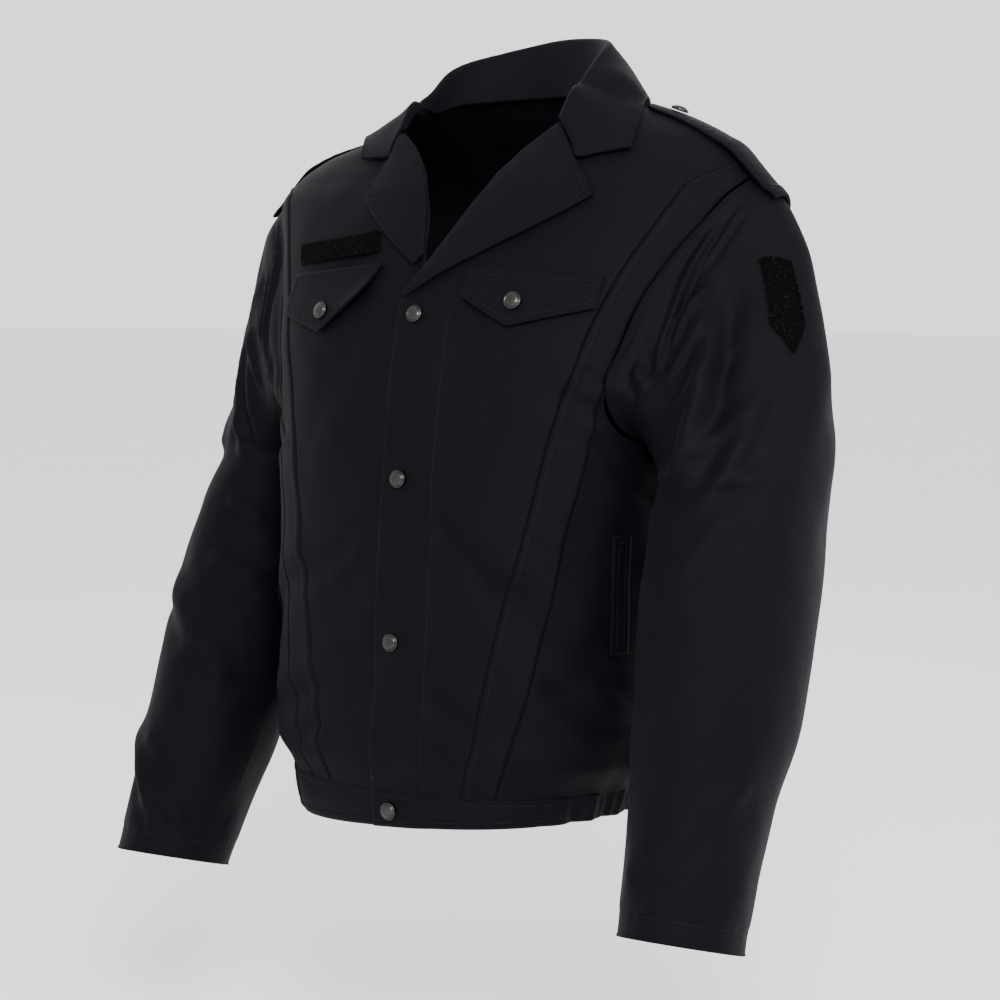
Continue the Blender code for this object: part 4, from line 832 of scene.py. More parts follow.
def thread_piece(name, rows):
    """All stitches of some rows: each is a bent four-sided rod, its ends sunk in the cloth, repeated at the pitch along its line."""
    starts, ends, normals = [], [], []
    for line, lean in rows:
        run = np.concatenate([[0], np.cumsum(np.linalg.norm(np.diff(line, axis=0), axis=-1))])
        begin = np.arange(0.0008, run[-1] - STITCH_LENGTH, STITCH_PITCH)
        at = [np.interp(begin + shift, run, line[:, k]) for shift in (0, STITCH_LENGTH) for k in range(3)]
        starts.append(np.stack(at[:3], -1))
        ends.append(np.stack(at[3:], -1))
        normals.append(np.stack([np.interp(begin + STITCH_LENGTH / 2, run, lean[:, k]) for k in range(3)], -1))
    start, end, normal = (np.concatenate(part) for part in (starts, ends, normals))
    normal = unit(normal)
    tangent = unit(end - start)
    aside = unit(np.cross(normal, tangent))
    shares = np.array([0.0, 0.18, 0.5, 0.82, 1.0])
    heights = np.array([-0.9, 0.55, 1.0, 0.55, -0.9]) * THREAD_RADIUS
    centre = start[:, None] + (end - start)[:, None] * shares[None, :, None] + normal[:, None] * heights[None, :, None]
    angle = np.radians([0.0, 90.0, 180.0, 270.0])
    ring = aside[:, None] * np.cos(angle)[None, :, None] + normal[:, None] * np.sin(angle)[None, :, None]
    thin = np.array([0.6, 1.0, 1.0, 1.0, 0.6])
    points = centre[:, :, None] + ring[:, None] * (THREAD_RADIUS * thin)[None, :, None, None]
    count, sections, sides = points.shape[:3]
    index = np.arange(count * sections * sides).reshape(count, sections, sides)
    turned = np.roll(index, -1, axis=2)
    quads = np.stack([index[:, :-1], index[:, 1:], turned[:, 1:], turned[:, :-1]], -1).reshape(-1, 4)
    caps = np.concatenate([index[:, 0], index[:, -1, ::-1]])
    mesh = bpy.data.meshes.new(name)
    mesh.from_pydata(points.reshape(-1, 3).tolist(), [], np.concatenate([quads, caps]).tolist())
    mesh.materials.append(THREAD)
    mesh.shade_smooth()
    piece = bpy.data.objects.new(name, mesh)
    bpy.context.scene.collection.objects.link(piece)
    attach(piece, "root")
    return piece


# ---- body panels ----

def panel(node, start, end, heights, columns, raised, lift=None, raise_top=None):
    """Panel between two seam lines, each a turn in degrees at every height, with sewn edges worked into its relief."""
    trim = math.degrees(SEAM_GAP / 2 / 0.15)
    width = 0.15 * math.radians(float(np.mean(end - start)))
    inner = 0.0024 / width
    shares = np.concatenate([[0, 0.25 * inner, 0.6 * inner], np.linspace(inner, 1 - inner, columns), [1 - 0.6 * inner, 1 - 0.25 * inner, 1]])[:, None]
    turn = np.radians(start + trim + (end - start - 2 * trim) * shares)
    height = np.broadcast_to(heights, turn.shape)
    if raise_top is not None:
        height = height + raise_top(turn, height)
    outward = lift(turn, height) if lift is not None else np.zeros_like(turn)
    points = body(turn, height, outward, 1.0)
    distances = edge_distances(points)
    relief = np.zeros_like(turn)
    for edge, amount in raised.items():
        relief = relief + sewn_edge(distances, edge, amount)
    points = points + body_normal(turn, height) * relief[..., None]
    for edge, amount in raised.items():
        if amount > 0:
            stitch("body", *inset_line(points, edge, EDGE_STITCH))
    sewn = [edge for edge, amount in raised.items() if amount >= 0]
    cloth(node, with_allowance(points, [*sewn, "bottom"]))
    return points


def heights_to(top):
    """Rows of a panel from the band to its top, 3 mm apart and closer on the shoulder."""
    rows = np.concatenate([np.linspace(BAND_TOP + SEAM_GAP / 2, -0.060, 150)[:-1], np.linspace(-0.060, NECK_SIDE, 70)])
    marks = np.array([ARMHOLE_CORNER, BREAK_POINT, SHOULDER_TIP, STRIP_TOP, CHEST_SEAM_ROWS[0][0], NECK_FRONT_TOP, NECK_SIDE])
    rows = rows[np.abs(rows[:, None] - marks[None]).min(1) > 0.0006]
    rows = np.sort(np.concatenate([rows, marks, [ARMHOLE_CORNER + 2e-4, SHOULDER_TIP + 4e-4]]))
    return rows[rows <= top + 1e-6]


def front_center(side):
    """Centre front, from the closing edge and the lapel's fold line to the chest seam, with the turned facing's stitch line."""
    heights = heights_to(NECK_FRONT_TOP)
    lap = LAP_OVER if side > 0 else LAP_UNDER
    closing = -np.degrees(np.arcsin(lap / smooth_table(BODY_ROWS, heights)[:, 1]))
    roll = seam_turn(ROLL_LEFT_ROWS if side > 0 else ROLL_RIGHT_ROWS, heights)
    start = np.where(heights < BREAK_POINT, closing, np.maximum(roll, closing))
    seam = np.where(heights < CHEST_SEAM_ROWS[0][0], seam_turn(CHEST_SEAM_ROWS, heights), 89.9)

    def lift(turn, height):
        aside = body(turn, height)[..., 0]
        shut = smooth_step((BREAK_POINT + 0.004 - height) / 0.02)
        facing = 0.0005 * (1 - smooth_step((aside - 0.0335) / 0.002)) * shut
        line = -0.0003 * np.exp(-(((aside - 0.0318) / 0.0011) ** 2)) * shut
        return LAP_LIFT * smooth_step((LAP_UNDER + LAP_FADE - aside) / LAP_FADE) + facing + line

    if side < 0:
        return panel("front_center_right", -seam, -start, heights, 56, {"start": 0.0, "end": -1e-9})
    points = panel("front_center_left", start, seam, heights, 56, {"end": 0.0, "start": -1e-9}, lift)
    for offset in (0.0318,):
        rows = np.linspace(BAND_TOP + 0.002, BREAK_POINT - 0.012, 140)
        turn = np.arcsin(offset / 0.172) * np.ones_like(rows)
        for _ in range(4):
            turn = turn + (offset - body(turn, rows, lift(turn, rows), 1.0)[..., 0]) / 0.15
        stitch("body", body(turn, rows, lift(turn, rows), 1.0), body_normal(turn, rows))
    return points


def bar_tack():
    """Short close rows of thread that lock the foot of the closing edge."""
    for step in range(5):
        turn = np.radians(np.linspace(-6.3, -3.9, 8))
        height = np.full(8, -0.4985 + step * 0.0006)
        stitch("body", body(turn, height, LAP_LIFT + 0.0005, 1.0), body_normal(turn, height))


def front_strip(side):
    """Narrow strip between the chest seam and the armhole; its edge on the chest seam lies on top and is stitched down.
    """
    heights = heights_to(STRIP_TOP)
    start = seam_turn(CHEST_SEAM_ROWS, heights)
    end = np.where(heights < ARMHOLE_CORNER, seam_turn(SIDE_SEAM_ROWS, heights), armhole_turn(heights, False))
    end = np.where(heights > SHOULDER_TIP, 89.9, end)
    if side > 0:
        return panel("front_strip_left", start, end, heights, 16, {"start": 0.0008, "end": 0.0})
    return panel("front_strip_right", -end, -start, heights, 16, {"start": 0.0, "end": 0.0008})


def side_panel(side):
    """Panel under the arm, whose top edge is the lower half of the armhole."""
    count = len(ARMHOLE_ROWS)
    shares = np.linspace(0, 1, 44)
    shares = np.concatenate([[0, 0.006, 0.014], shares[1:-1], [0.986, 0.994, 1]])
    rim = closed_loop(ARMHOLE_ROWS, (ARMHOLE_FRONT_CORNER + (ARMHOLE_BACK_CORNER - ARMHOLE_FRONT_CORNER) * shares) / count)
    rows = np.concatenate([np.linspace(0, 1, 104)[:-1], [0.996, 1.0]])
    bottom = BAND_TOP + SEAM_GAP / 2
    height = bottom + (rim[:, 1:2] - bottom) * rows
    front = seam_turn(SIDE_SEAM_ROWS, np.minimum(height, ARMHOLE_CORNER))
    back = seam_turn(BACK_SEAM_ROWS, np.minimum(height, ARMHOLE_CORNER))
    trim = math.degrees(SEAM_GAP / 2 / 0.15)
    across = ((rim[:, 0] - rim[0, 0]) / (rim[-1, 0] - rim[0, 0]))[:, None]
    turn = np.radians(front + trim + (back - front - 2 * trim) * across)
    if side < 0:
        turn, height = -turn[::-1], height[::-1]
    points = body(turn, height, 0.0, 1.0)
    distances = edge_distances(points)
    relief = sewn_edge(distances, "start", 0.0) + sewn_edge(distances, "end", 0.0) + sewn_edge(distances, "top", 0.0)
    points = with_allowance(points + body_normal(turn, height) * relief[..., None], ("start", "end", "bottom"))
    cloth("side_left" if side > 0 else "side_right", points)


def back_panel():
    """Plain back in one piece, from side seam to side seam and up to the neck."""
    heights = heights_to(NECK_SIDE)
    start = np.where(heights < ARMHOLE_CORNER, seam_turn(BACK_SEAM_ROWS, heights), armhole_turn(heights, True))
    start = np.where(heights > SHOULDER_TIP, 90.1, start)

    def neck_rise(turn, height):
        rise = (NECK_BACK - NECK_SIDE) * np.sin(turn - math.pi / 2) ** 2
        return rise * smooth_step(height / NECK_SIDE)

    panel("back", start, 360 - start, heights, 128, {"start": 0.0006, "end": 0.0006}, raise_top=neck_rise)


# ---- sleeves ----

def sleeve_points(side, around, along):
    """Sleeve point: the cap is a cubic from the armhole's rim, leaving it outwards, to the first ring; below it the rings are ellipses."""
    rows = SLEEVE_LEFT_ROWS if side > 0 else SLEEVE_RIGHT_ROWS
    share = around / (2 * math.pi)
    loop = closed_loop(ARMHOLE_ROWS, share)
    ahead, behind = (closed_loop(ARMHOLE_ROWS, share + step) for step in (0.004, -0.004))
    mirror = np.array([side, 1.0, 1.0])
    rim, after, before = (body(side * np.radians(k[..., 0]), k[..., 1]) * mirror for k in (loop, ahead, behind))
    out = body_normal(side * np.radians(loop[..., 0]), loop[..., 1]) * mirror
    inward = unit(np.cross(out, after - before))
    top, bottom = rows[0][0], rows[-1][0]
    level = top + (bottom - top) * np.clip(along - 1, 0, 1)
    centre_x, centre_y, radius_x, radius_y = np.moveaxis(smooth_table(rows, level), -1, 0)
    slant = CUFF_SLANT * smooth_step((top - level) / (top - bottom))
    x = centre_x + radius_x * np.cos(around)
    y = centre_y - radius_y * np.sin(around)
    ring = np.stack([x, y, level - slant * (y - centre_y)], -1)
    leave = unit(0.6 * inward + 0.8 * np.array([1.0, 0.0, 0.0]))
    t = np.clip(along, 0, 1)[..., None]
    start = rim + inward * 0.004
    reach = np.linalg.norm(ring - start, axis=-1, keepdims=True)
    plain, outer, rear = SLEEVE_LEFT_FULLNESS if side > 0 else SLEEVE_RIGHT_FULLNESS
    fullness = plain + outer * np.clip(np.cos(around), 0, 1) + rear * np.clip(-np.sin(around), 0, 1)
    cap = (
        start * (1 + 2 * t) * (1 - t) ** 2
        + ring * t**2 * (3 - 2 * t)
        + fullness[..., None] * reach * leave * t * (1 - t) ** 2
        + 0.8 * reach * np.array([0.0, -0.25, -1.0]) * t**2 * (t - 1)
    )
    return np.where((along <= 1)[..., None], cap, ring), rim, out, inward


def sleeve_relief(side, around, along, fine):
    """Outward move of a sleeve's cloth: its creases, and when fine is set, the finer folds and unevenness, faded at
    both ends of the sleeve.
    """
    rows, folds = (SLEEVE_LEFT_CREASES, SLEEVE_LEFT_FOLDS) if side > 0 else (SLEEVE_RIGHT_CREASES, SLEEVE_RIGHT_FOLDS)
    girth, arm = 0.068, 0.30
    angle = (around + math.pi) % (2 * math.pi) - math.pi
    relief = np.zeros_like(around)
    for first, low, last, high, width, depth in rows:
        ends = ((math.radians(first) * girth, low * arm), (math.radians(last) * girth, high * arm))
        relief -= depth * crease(angle * girth, along * arm, ends, width)
        relief += 0.7 * depth * crease(angle * girth + 1.7 * width, along * arm, ends, width)
    relief = relief * smooth_step(along / 0.25)
    if fine:
        more = rumple(angle * girth + 0.3 * side, along * arm)
        for width, depth, places in folds:
            far = max(place[0] for place in places) > 180
            wrapped = angle + np.where(far & (angle < 0), 2 * math.pi, 0)
            flat = [(math.radians(a) * girth, b * arm) for a, b in places]
            more += fold(wrapped * girth, along * arm, flat, width, depth)
        relief += more * smooth_step(along / 0.05) * smooth_step((2.02 - along) / 0.10)
    return relief


def sleeve_cloth(side, around, along, fine=False):
    """Point of the sleeve's cloth as on the wearer's left: its form moved along its normal by the relief."""
    step = 0.01
    points = sleeve_points(side, around, along)[0]
    ahead = sleeve_points(side, (around + step) % (2 * math.pi), along)[0]
    below = sleeve_points(side, around, np.clip(along + step, 0, 2))[0]
    above = sleeve_points(side, around, np.clip(along - step, 0, 2))[0]
    normal = unit(np.cross(below - above, ahead - points))
    return points + normal * sleeve_relief(side, around, along, fine)[..., None], normal


def sleeve(side):
    """One-piece sleeve, from the armhole to an open cuff with a turned hem."""
    around = 2 * math.pi * np.linspace(0, 1, 150, endpoint=False)[:, None]
    along = np.concatenate([[0, 0.004, 0.010], np.linspace(0.018, 1, 86), np.linspace(1, 1.975, 104)[1:], [1.985, 1.993, 2.0]])[None, :]
    around, along = np.broadcast_arrays(around, along)
    _, rim, out, inward = sleeve_points(side, around, along)
    points, normal = sleeve_cloth(side, around, along, True)
    hem = (2.0 - along) * 0.333
    relief = 0.0007 * (1 - smooth_step((hem - 0.0185) / 0.0016)) - 0.0008 * (1 - smooth_step(hem / 0.002))
    relief -= 0.0003 * np.exp(-(((hem - 0.0165) / 0.0010) ** 2))
    run = around * 0.05
    relief += 0.00022 * np.sin(2 * math.pi * run / 0.013 + np.sin(run * 40)) * np.exp(-(((hem - 0.0165) / 0.005) ** 2))
    head = along * 0.235
    ease = smooth_step((np.cos(around) + 0.2) / 0.6)
    relief += 0.0009 * ease * np.exp(-(((head - 0.012) / 0.008) ** 2)) * (0.6 + 0.4 * np.sin(around * 34))
    points = points + normal * relief[..., None]
    near_tip = smooth_step(1 - np.abs((around[:, :1] + math.pi) % (2 * math.pi) - math.pi) / 0.8)[..., None]
    edge = rim[:, :1] + inward[:, :1] * (2 * SEAM_GAP + 0.0008 * near_tip) - out[:, :1] * 0.0012
    turned = rim[:, :1] + inward[:, :1] * 0.0016 - out[:, :1] * 0.0002
    points = np.concatenate([edge, turned, points[:, 1:]], axis=1)[:, ::-1]
    points = points[::-1] if side > 0 else points * np.array([-1.0, 1.0, 1.0])
    name = "sleeve_left" if side > 0 else "sleeve_right"
    cloth(name, points, closed=True)
    looped = np.concatenate([points, points[:2]])
    line, lean = inset_line(looped, "bottom", 0.0165)
    stitch("sleeves", line, lean)


# ---- collar, lapels, straps and flaps ----

def shoulder_height(x, y):
    """Height of the shoulder above a point of the plan, found by halving the range thirty times."""
    low, high = np.full(np.shape(x), SHOULDER_TIP - 0.02), np.full(np.shape(x), 0.044)
    for _ in range(30):
        middle = (low + high) / 2
        width, front, back, centre_y, square = np.moveaxis(smooth_table(BODY_ROWS, middle), -1, 0)
        depth = np.where(y < centre_y, front, back)
        outside = np.abs(x / width) ** square + np.abs((y - centre_y) / depth) ** square > 1
        low, high = np.where(outside, low, middle), np.where(outside, middle, high)
    return low + shoulder_shift(x, y, low)


def mirrored(points, side):
    """The same grid for the wearer's right: mirrored, and its columns reversed so that it still faces out."""
    return points if side > 0 else (points * np.array([-1.0, 1.0, 1.0]))[::-1]


def leaf(node, points, thickness, free, stitched, group="trims", look="twill"):
    """Turned leaf on the jacket: rolled free edges, a thread groove inside them and the thread itself."""
    distances = edge_distances(points)
    points = points + grid_normals(points) * free_edge(distances, free, bool(stitched))[..., None]
    for edge in stitched:
        line, lean = inset_line(points, edge, EDGE_STITCH, [other for other in free if other != edge])
        stitch(group, line, lean)
    cloth(node, points, thickness, look=look)
    return points


def epaulette(side):
    """Shoulder strap along the shoulder line, its outer end over the head of the sleeve."""
    offsets = np.linspace(0.5, -0.5, 6) * STRAP_WIDTH
    reach = np.array([0.1275, 0.1355, 0.148, 0.162, 0.178, 0.194, 0.207])
    narrow = np.array([0.45, 0.85, 0.88, 0.92, 0.96, 1.0, 1.0])
    x = np.broadcast_to(reach, (6, len(reach)))
    y = STRAP_CENTRE_Y + offsets[:, None] * narrow
    flat = np.stack([x, y, shoulder_height(side * x, y)], -1)
    turns = np.radians(np.linspace(-75, 75, 61))
    over = []
    for along in (0.04, 0.08, 0.12):
        head = sleeve_points(side, turns % (2 * math.pi), np.full(turns.shape, along))[0]
        order = np.argsort(head[:, 1])
        wanted = STRAP_CENTRE_Y + offsets
        over.append(np.stack([np.interp(wanted, head[order, 1], head[order, k]) for k in range(3)], -1))
    strap = np.concatenate([flat, np.stack(over, axis=1)], axis=1)[:, ::-1][::-1]
    raised = STRAP_THICKNESS + np.array(STRAP_LIFTS)[None, :, None]
    strap = finer(strap + grid_normals(strap) * raised, 28, 84)
    name = "epaulette_left" if side > 0 else "epaulette_right"
    leaf(name, mirrored(strap, side), STRAP_THICKNESS, ("start", "end", "top", "bottom"), ("start", "end", "top"))


def five_sided(corners, columns, rows):
    """Turn and height over a flap with a pointed lower edge: straight lines from the upper edge to the broken lower one."""
    first, second, third, point, last = np.array(corners, float)
    share = np.linspace(0, 1, columns)[:, None]
    upper = first + (second - first) * share
    middle = (columns // 2) / (columns - 1)
    near = last + (point - last) * np.clip(share / middle, 0, 1)
    far = point + (third - point) * np.clip((share - middle) / (1 - middle), 0, 1)
    lower = np.where(share < middle, near, far)
    down = np.linspace(1, 0, rows)[None, :, None]
    return upper[:, None] + (lower - upper)[:, None] * down, share, down[..., 0]


def pocket_flap(node, corners, slack):
    """Pointed pocket flap on the chest; slack lifts its lower corner nearest the closing, and its edges wave a little."""
    grid, share, down = five_sided(corners, 61, 41)
    lift = DOUBLE_CLOTH + 0.0008 + 0.0012 * down + slack * down**2 * (1 - share) ** 3
    lift = lift + 0.0006 * down * np.sin(5.5 * share + 0.6) + 0.0005 * np.exp(-(((share - 0.45) / 0.2) ** 2)) * down
    points = body(np.radians(grid[..., 0]), grid[..., 1], lift, 0.0)
    if corners[0][0] > corners[1][0]:
        points = points[::-1]
    leaf(node, points, DOUBLE_CLOTH, ("start", "end", "bottom", "top"), ("start", "end", "bottom", "top"))


def side_welt(side):
    """Welt of the slanting side pocket, open along its front edge."""
    across = np.linspace(0, 1, 18)[:, None]
    height = np.linspace(WELT_BOTTOM, WELT_TOP, 64)[None, :]
    turn = WELT_FRONT + math.degrees(WELT_WIDTH / 0.18) * across + 0 * height
    lift = CLOTH + 0.0008 + 0.0009 * (1 - across) ** 2 * np.sin(np.pi * np.linspace(0, 1, 64))[None, :]
    points = body(side * np.radians(turn), height + 0 * turn, lift + 0 * turn, 0.6)
    points = points[::-1] if side < 0 else points
    name = "side_welt_left" if side > 0 else "side_welt_right"
    leaf(name, points, CLOTH, ("start", "end", "bottom", "top"), ("start", "end", "bottom", "top"))


def ragged(points, amount):
    """Pile grid with uneven tufts: its face moves by crossed sines, and its edges wander in their own plane."""
    normals = grid_normals(points)
    columns, rows = np.meshgrid(np.arange(points.shape[0]), np.arange(points.shape[1]), indexing="ij")
    tuft = np.sin(columns * 2.13 + 1.3 * np.sin(rows * 0.71)) * np.sin(rows * 1.87 + 1.1 * np.sin(columns * 0.53))
    tuft = tuft + 0.6 * np.sin(columns * 1.17 - rows * 1.41)
    points = points + normals * (amount * tuft)[..., None]
    centre = points.mean((0, 1))
    distances = edge_distances(points)
    nearest = np.minimum.reduce(list(distances.values()))
    rim = 1 - smooth_step(nearest / 0.006)
    wander = np.sin(columns * 0.61 + rows * 0.37) + 0.6 * np.sin(columns * 1.31 - rows * 0.93 + 2)
    towards = unit(centre - points)
    return points + towards * (0.0009 * rim * (1 + 0.7 * wander))[..., None]


def name_strip():
    """Strip of pile above the flap of the wearer's right chest."""
    corners = np.radians(np.array(NAME_STRIP)[:, 0]), np.array(NAME_STRIP)[:, 1]
    across = np.linspace(0, 1, 150)[:, None]
    down = np.linspace(1, 0, 34)[None, :]
    turn, height = (
        (c[0] + (c[1] - c[0]) * across) * (1 - down) + (c[3] + (c[2] - c[3]) * across) * down
        for c in corners
    )
    plain_strip = body(turn, height, 0 * turn + PILE_THICKNESS + STRIP_CLEAR, 0.0)
    points = ragged(plain_strip, 0.00005)
    cloth("name_strip", points, PILE_THICKNESS, look="pile", cut=plain_strip)
    loops("name_strip_loops", points, 2600)


def arm_patch():
    """Shield of pile on the left upper sleeve, with rounded corners."""
    grid, _, _ = five_sided(ARM_PATCH, 49, 121)
    around, along = np.radians(grid[..., 0]), grid[..., 1]
    points = sleeve_cloth(1, around % (2 * math.pi), along)[0][::-1]
    plain_patch = points + grid_normals(points) * (PILE_THICKNESS + PATCH_CLEAR)
    points = ragged(plain_patch, 0.00005)
    cloth("arm_patch", points, PILE_THICKNESS, look="pile", cut=plain_patch)
    loops("arm_patch_loops", points, 4200)


def loops(name, points, count):
    """Loose loops of pile: many thin bent blades standing on a grid at even but shaken places, each of two small faces."""
    random = np.random.default_rng(7)
    normals = grid_normals(points)
    u, v = random.random(count) * (points.shape[0] - 2), random.random(count) * (points.shape[1] - 2)
    i, j = u.astype(int), v.astype(int)
    s, t = (u - i)[:, None], (v - j)[:, None]
    foot = (points[i, j] * (1 - s) + points[i + 1, j] * s) * (1 - t) + (points[i, j + 1] * (1 - s) + points[i + 1, j + 1] * s) * t
    normal = normals[i, j]
    side = unit(np.cross(normal, random.normal(size=(count, 3))))
    lean = unit(np.cross(normal, side))
    tall = (0.0005 + 0.0006 * random.random(count))[:, None]
    wide = 0.00014
    low = foot - normal * 0.0004
    middle = foot + normal * tall * 0.8 + lean * 0.0002
    tip = foot + normal * tall * 0.35 + lean * 0.0009
    blade = np.stack([low - side * wide, low + side * wide, middle + side * wide, middle - side * wide, tip], axis=1)
    index = np.arange(count * 5).reshape(count, 5)
    faces = index[:, [0, 1, 2, 3]].tolist() + index[:, [3, 2, 4]].tolist()
    mesh = bpy.data.meshes.new(name)
    mesh.from_pydata(blade.reshape(-1, 3).tolist(), [], faces)
    layer = mesh.uv_layers.new(name="cloth")
    flat = np.concatenate([np.repeat(foot[:, :2] * 3.0, 4, axis=0), np.repeat(foot[:, :2] * 3.0, 3, axis=0)])
    layer.data.foreach_set("uv", flat.astype(np.float32).ravel())
    mesh.materials.append(PILE)
    piece = bpy.data.objects.new(name, mesh)
    bpy.context.scene.collection.objects.link(piece)
    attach(piece, "root")


def lapel(side):
    """Turned-back lapel, from the fold line to its free edge, with the step to the collar."""
    rows = np.array(LAPEL_LEFT_ROWS if side > 0 else LAPEL_RIGHT_ROWS)
    corners = LAPEL_LEFT_TOP if side > 0 else LAPEL_RIGHT_TOP
    start = np.stack([seam_turn(ROLL_LEFT_ROWS if side > 0 else ROLL_RIGHT_ROWS, rows[:, 0]), rows[:, 0]], axis=-1)
    across = np.unique(np.concatenate([np.linspace(0, 1, 58), LAPEL_ACROSS]))[:, None]
    body_rows = start + (rows[:, 1:] - start) * across[..., None]
    gorge, notch, point = np.array(corners, float)
    top = np.where(
        across < LAPEL_NOTCH_SHARE,
        gorge + (notch - gorge) * across / LAPEL_NOTCH_SHARE,
        notch + (point - notch) * (across - LAPEL_NOTCH_SHARE) / (1 - LAPEL_NOTCH_SHARE),
    )
    knots = np.concatenate([body_rows, top[:, None]], axis=1)
    place = np.linspace(0, knots.shape[1] - 1, 90)
    low = np.clip(np.floor(place).astype(int), 0, knots.shape[1] - 2)
    t = (place - low)[None, :, None]
    grid = knots[:, low] * (1 - t) + knots[:, low + 1] * t
    bend = np.sin(np.pi / 2 * np.clip(across / 0.2, 0, 1))
    aside = 0.11 * np.radians(grid[..., 0])
    over = LAP_LIFT * (side > 0) * smooth_step((LAP_UNDER + LAP_FADE - aside) / LAP_FADE)
    belly = 0.0016 * np.sin(np.pi * np.clip(across, 0, 1)) ** 2 * np.sin(np.pi * place / place[-1])[None, :]
    lift = DOUBLE_CLOTH + 0.0006 + (LAPEL_STAND - 0.0006) * bend + over + belly
    points = body(side * np.radians(grid[..., 0]), grid[..., 1], lift, 0.0)
    points = points[::-1] if side < 0 else points
    name, rests = ("lapel_left", "front_center_left") if side > 0 else ("lapel_right", "front_center_right")
    edge = "end" if side > 0 else "start"
    leaf(name, points, DOUBLE_CLOTH, (edge, "top"), (edge, "top"), "collar")


def collar_end(side, places):
    """Front edge of the collar on the body, straight from gorge to notch and from notch to point."""
    corners = np.array(COLLAR_LEFT_FRONT if side > 0 else COLLAR_RIGHT_FRONT)
    turn, height = (np.interp(places, (0, 1, 2), column) for column in corners.T)
    return body(side * np.radians(turn), height, np.full(len(turn), LAPEL_STAND))


def collar():
    """Collar leaf: cubics through its table's stations carry the seam, crest and edge round; a stand, a rounded crest and a fall join them."""
    ends = collar_end(1, COLLAR_END_PLACES), collar_end(-1, COLLAR_END_PLACES)
    mirror = np.array([-1.0, 1.0, 1.0])
    inside = np.array([-0.002, 0.002, 0.0])
    left, right = np.array(COLLAR_LEFT_ROWS), np.array(COLLAR_RIGHT_ROWS) * mirror
    first, last = (np.stack([e[0] + inside * m, e[0], e[-1]]) for e, m in zip(ends, (1.0, mirror)))
    knots = np.concatenate([first[None], left, right[::-1], last[None]])
    place = np.linspace(0, len(knots) - 1, COLLAR_STATIONS)
    low = np.clip(np.floor(place).astype(int), 0, len(knots) - 2)
    t = (place - low)[:, None, None]
    before, after = knots[np.maximum(low - 1, 0)], knots[np.minimum(low + 2, len(knots) - 1)]
    a, b = knots[low], knots[low + 1]
    curve = 0.5 * (2 * a + (b - before) * t + (2 * before - 5 * a + 4 * b - after) * t**2 + (3 * a - before - 3 * b + after) * t**3)
    seam, crest, edge = curve[:, 0], curve[:, 1], curve[:, 2]
    outward = unit((edge - crest) * np.array([1.0, 1.0, 0.0]))
    up = np.array([0.0, 0.0, 1.0])
    tall = np.clip((crest - seam)[:, 2:3] / 0.02, 0, 1)
    half = COLLAR_FOLD / 2
    inner = crest - up * half * tall
    outer = crest + outward * half * tall - up * half * 0.4 * tall
    across = smooth_step(place / (len(knots) - 1))[:, None]
    full = COLLAR_SWELL[0] + (COLLAR_SWELL[1] - COLLAR_SWELL[0]) * across
    levels = [seam, seam + (inner - seam) * 0.5, inner, crest + outward * half * 0.4 * tall, outer]
    for share in (0.3, 0.55, 0.8, 1.0):
        levels.append(outer + (edge - outer) * share + (outward + up) * full * 4 * share * (1 - share) * tall)
    points = np.stack(levels, axis=1)
    fade = smooth_step(1 - np.arange(COLLAR_STATIONS) / 3.0)[:, None, None]
    for end, row, nearness in ((ends[0], 0, fade), (ends[1], -1, fade[::-1])):
        points[:, 3:] += nearness * (end - points[row, 3:])
    floor = shoulder_height(points[..., 0], points[..., 1]) + COLLAR_CLEAR
    points[1:-1, 3:, 2] = np.maximum(points[1:-1, 3:, 2], floor[1:-1, 3:])
    fine = finer(points, 225, 65)
    stations = np.linspace(0, COLLAR_STATIONS - 1, 225)
    fall = slice(26, None)
    clear = shoulder_height(fine[:, fall, 0], fine[:, fall, 1]) + COLLAR_CLEAR
    settle = (smooth_step((stations - 1.0) / 1.0) * smooth_step((COLLAR_STATIONS - 2.0 - stations) / 1.0))[:, None]
    lifted = np.maximum(fine[:, fall, 2], clear)
    fine[:, fall, 2] += settle * (lifted - fine[:, fall, 2])
    fine = eased(evenly_spaced(fine, 84), 5)
    wave = 0.0007 * np.sin(stations * 0.9)[:, None] * smooth_step(edge_distances(fine)["bottom"] / 0.06)
    out = smoothed(grid_normals(fine), 6)
    shell = fine + out * wave[..., None]
    relief = free_edge(edge_distances(shell), ("start", "end", "top"))
    shell = shell + out * relief[..., None]
    for edge in ("start", "end", "top"):
        others = [other for other in ("start", "end", "top") if other != edge]
        line, lean = inset_line(shell, edge, EDGE_STITCH, others)
        stitch("collar", line, lean)
    cloth("collar", shell, DOUBLE_CLOTH)


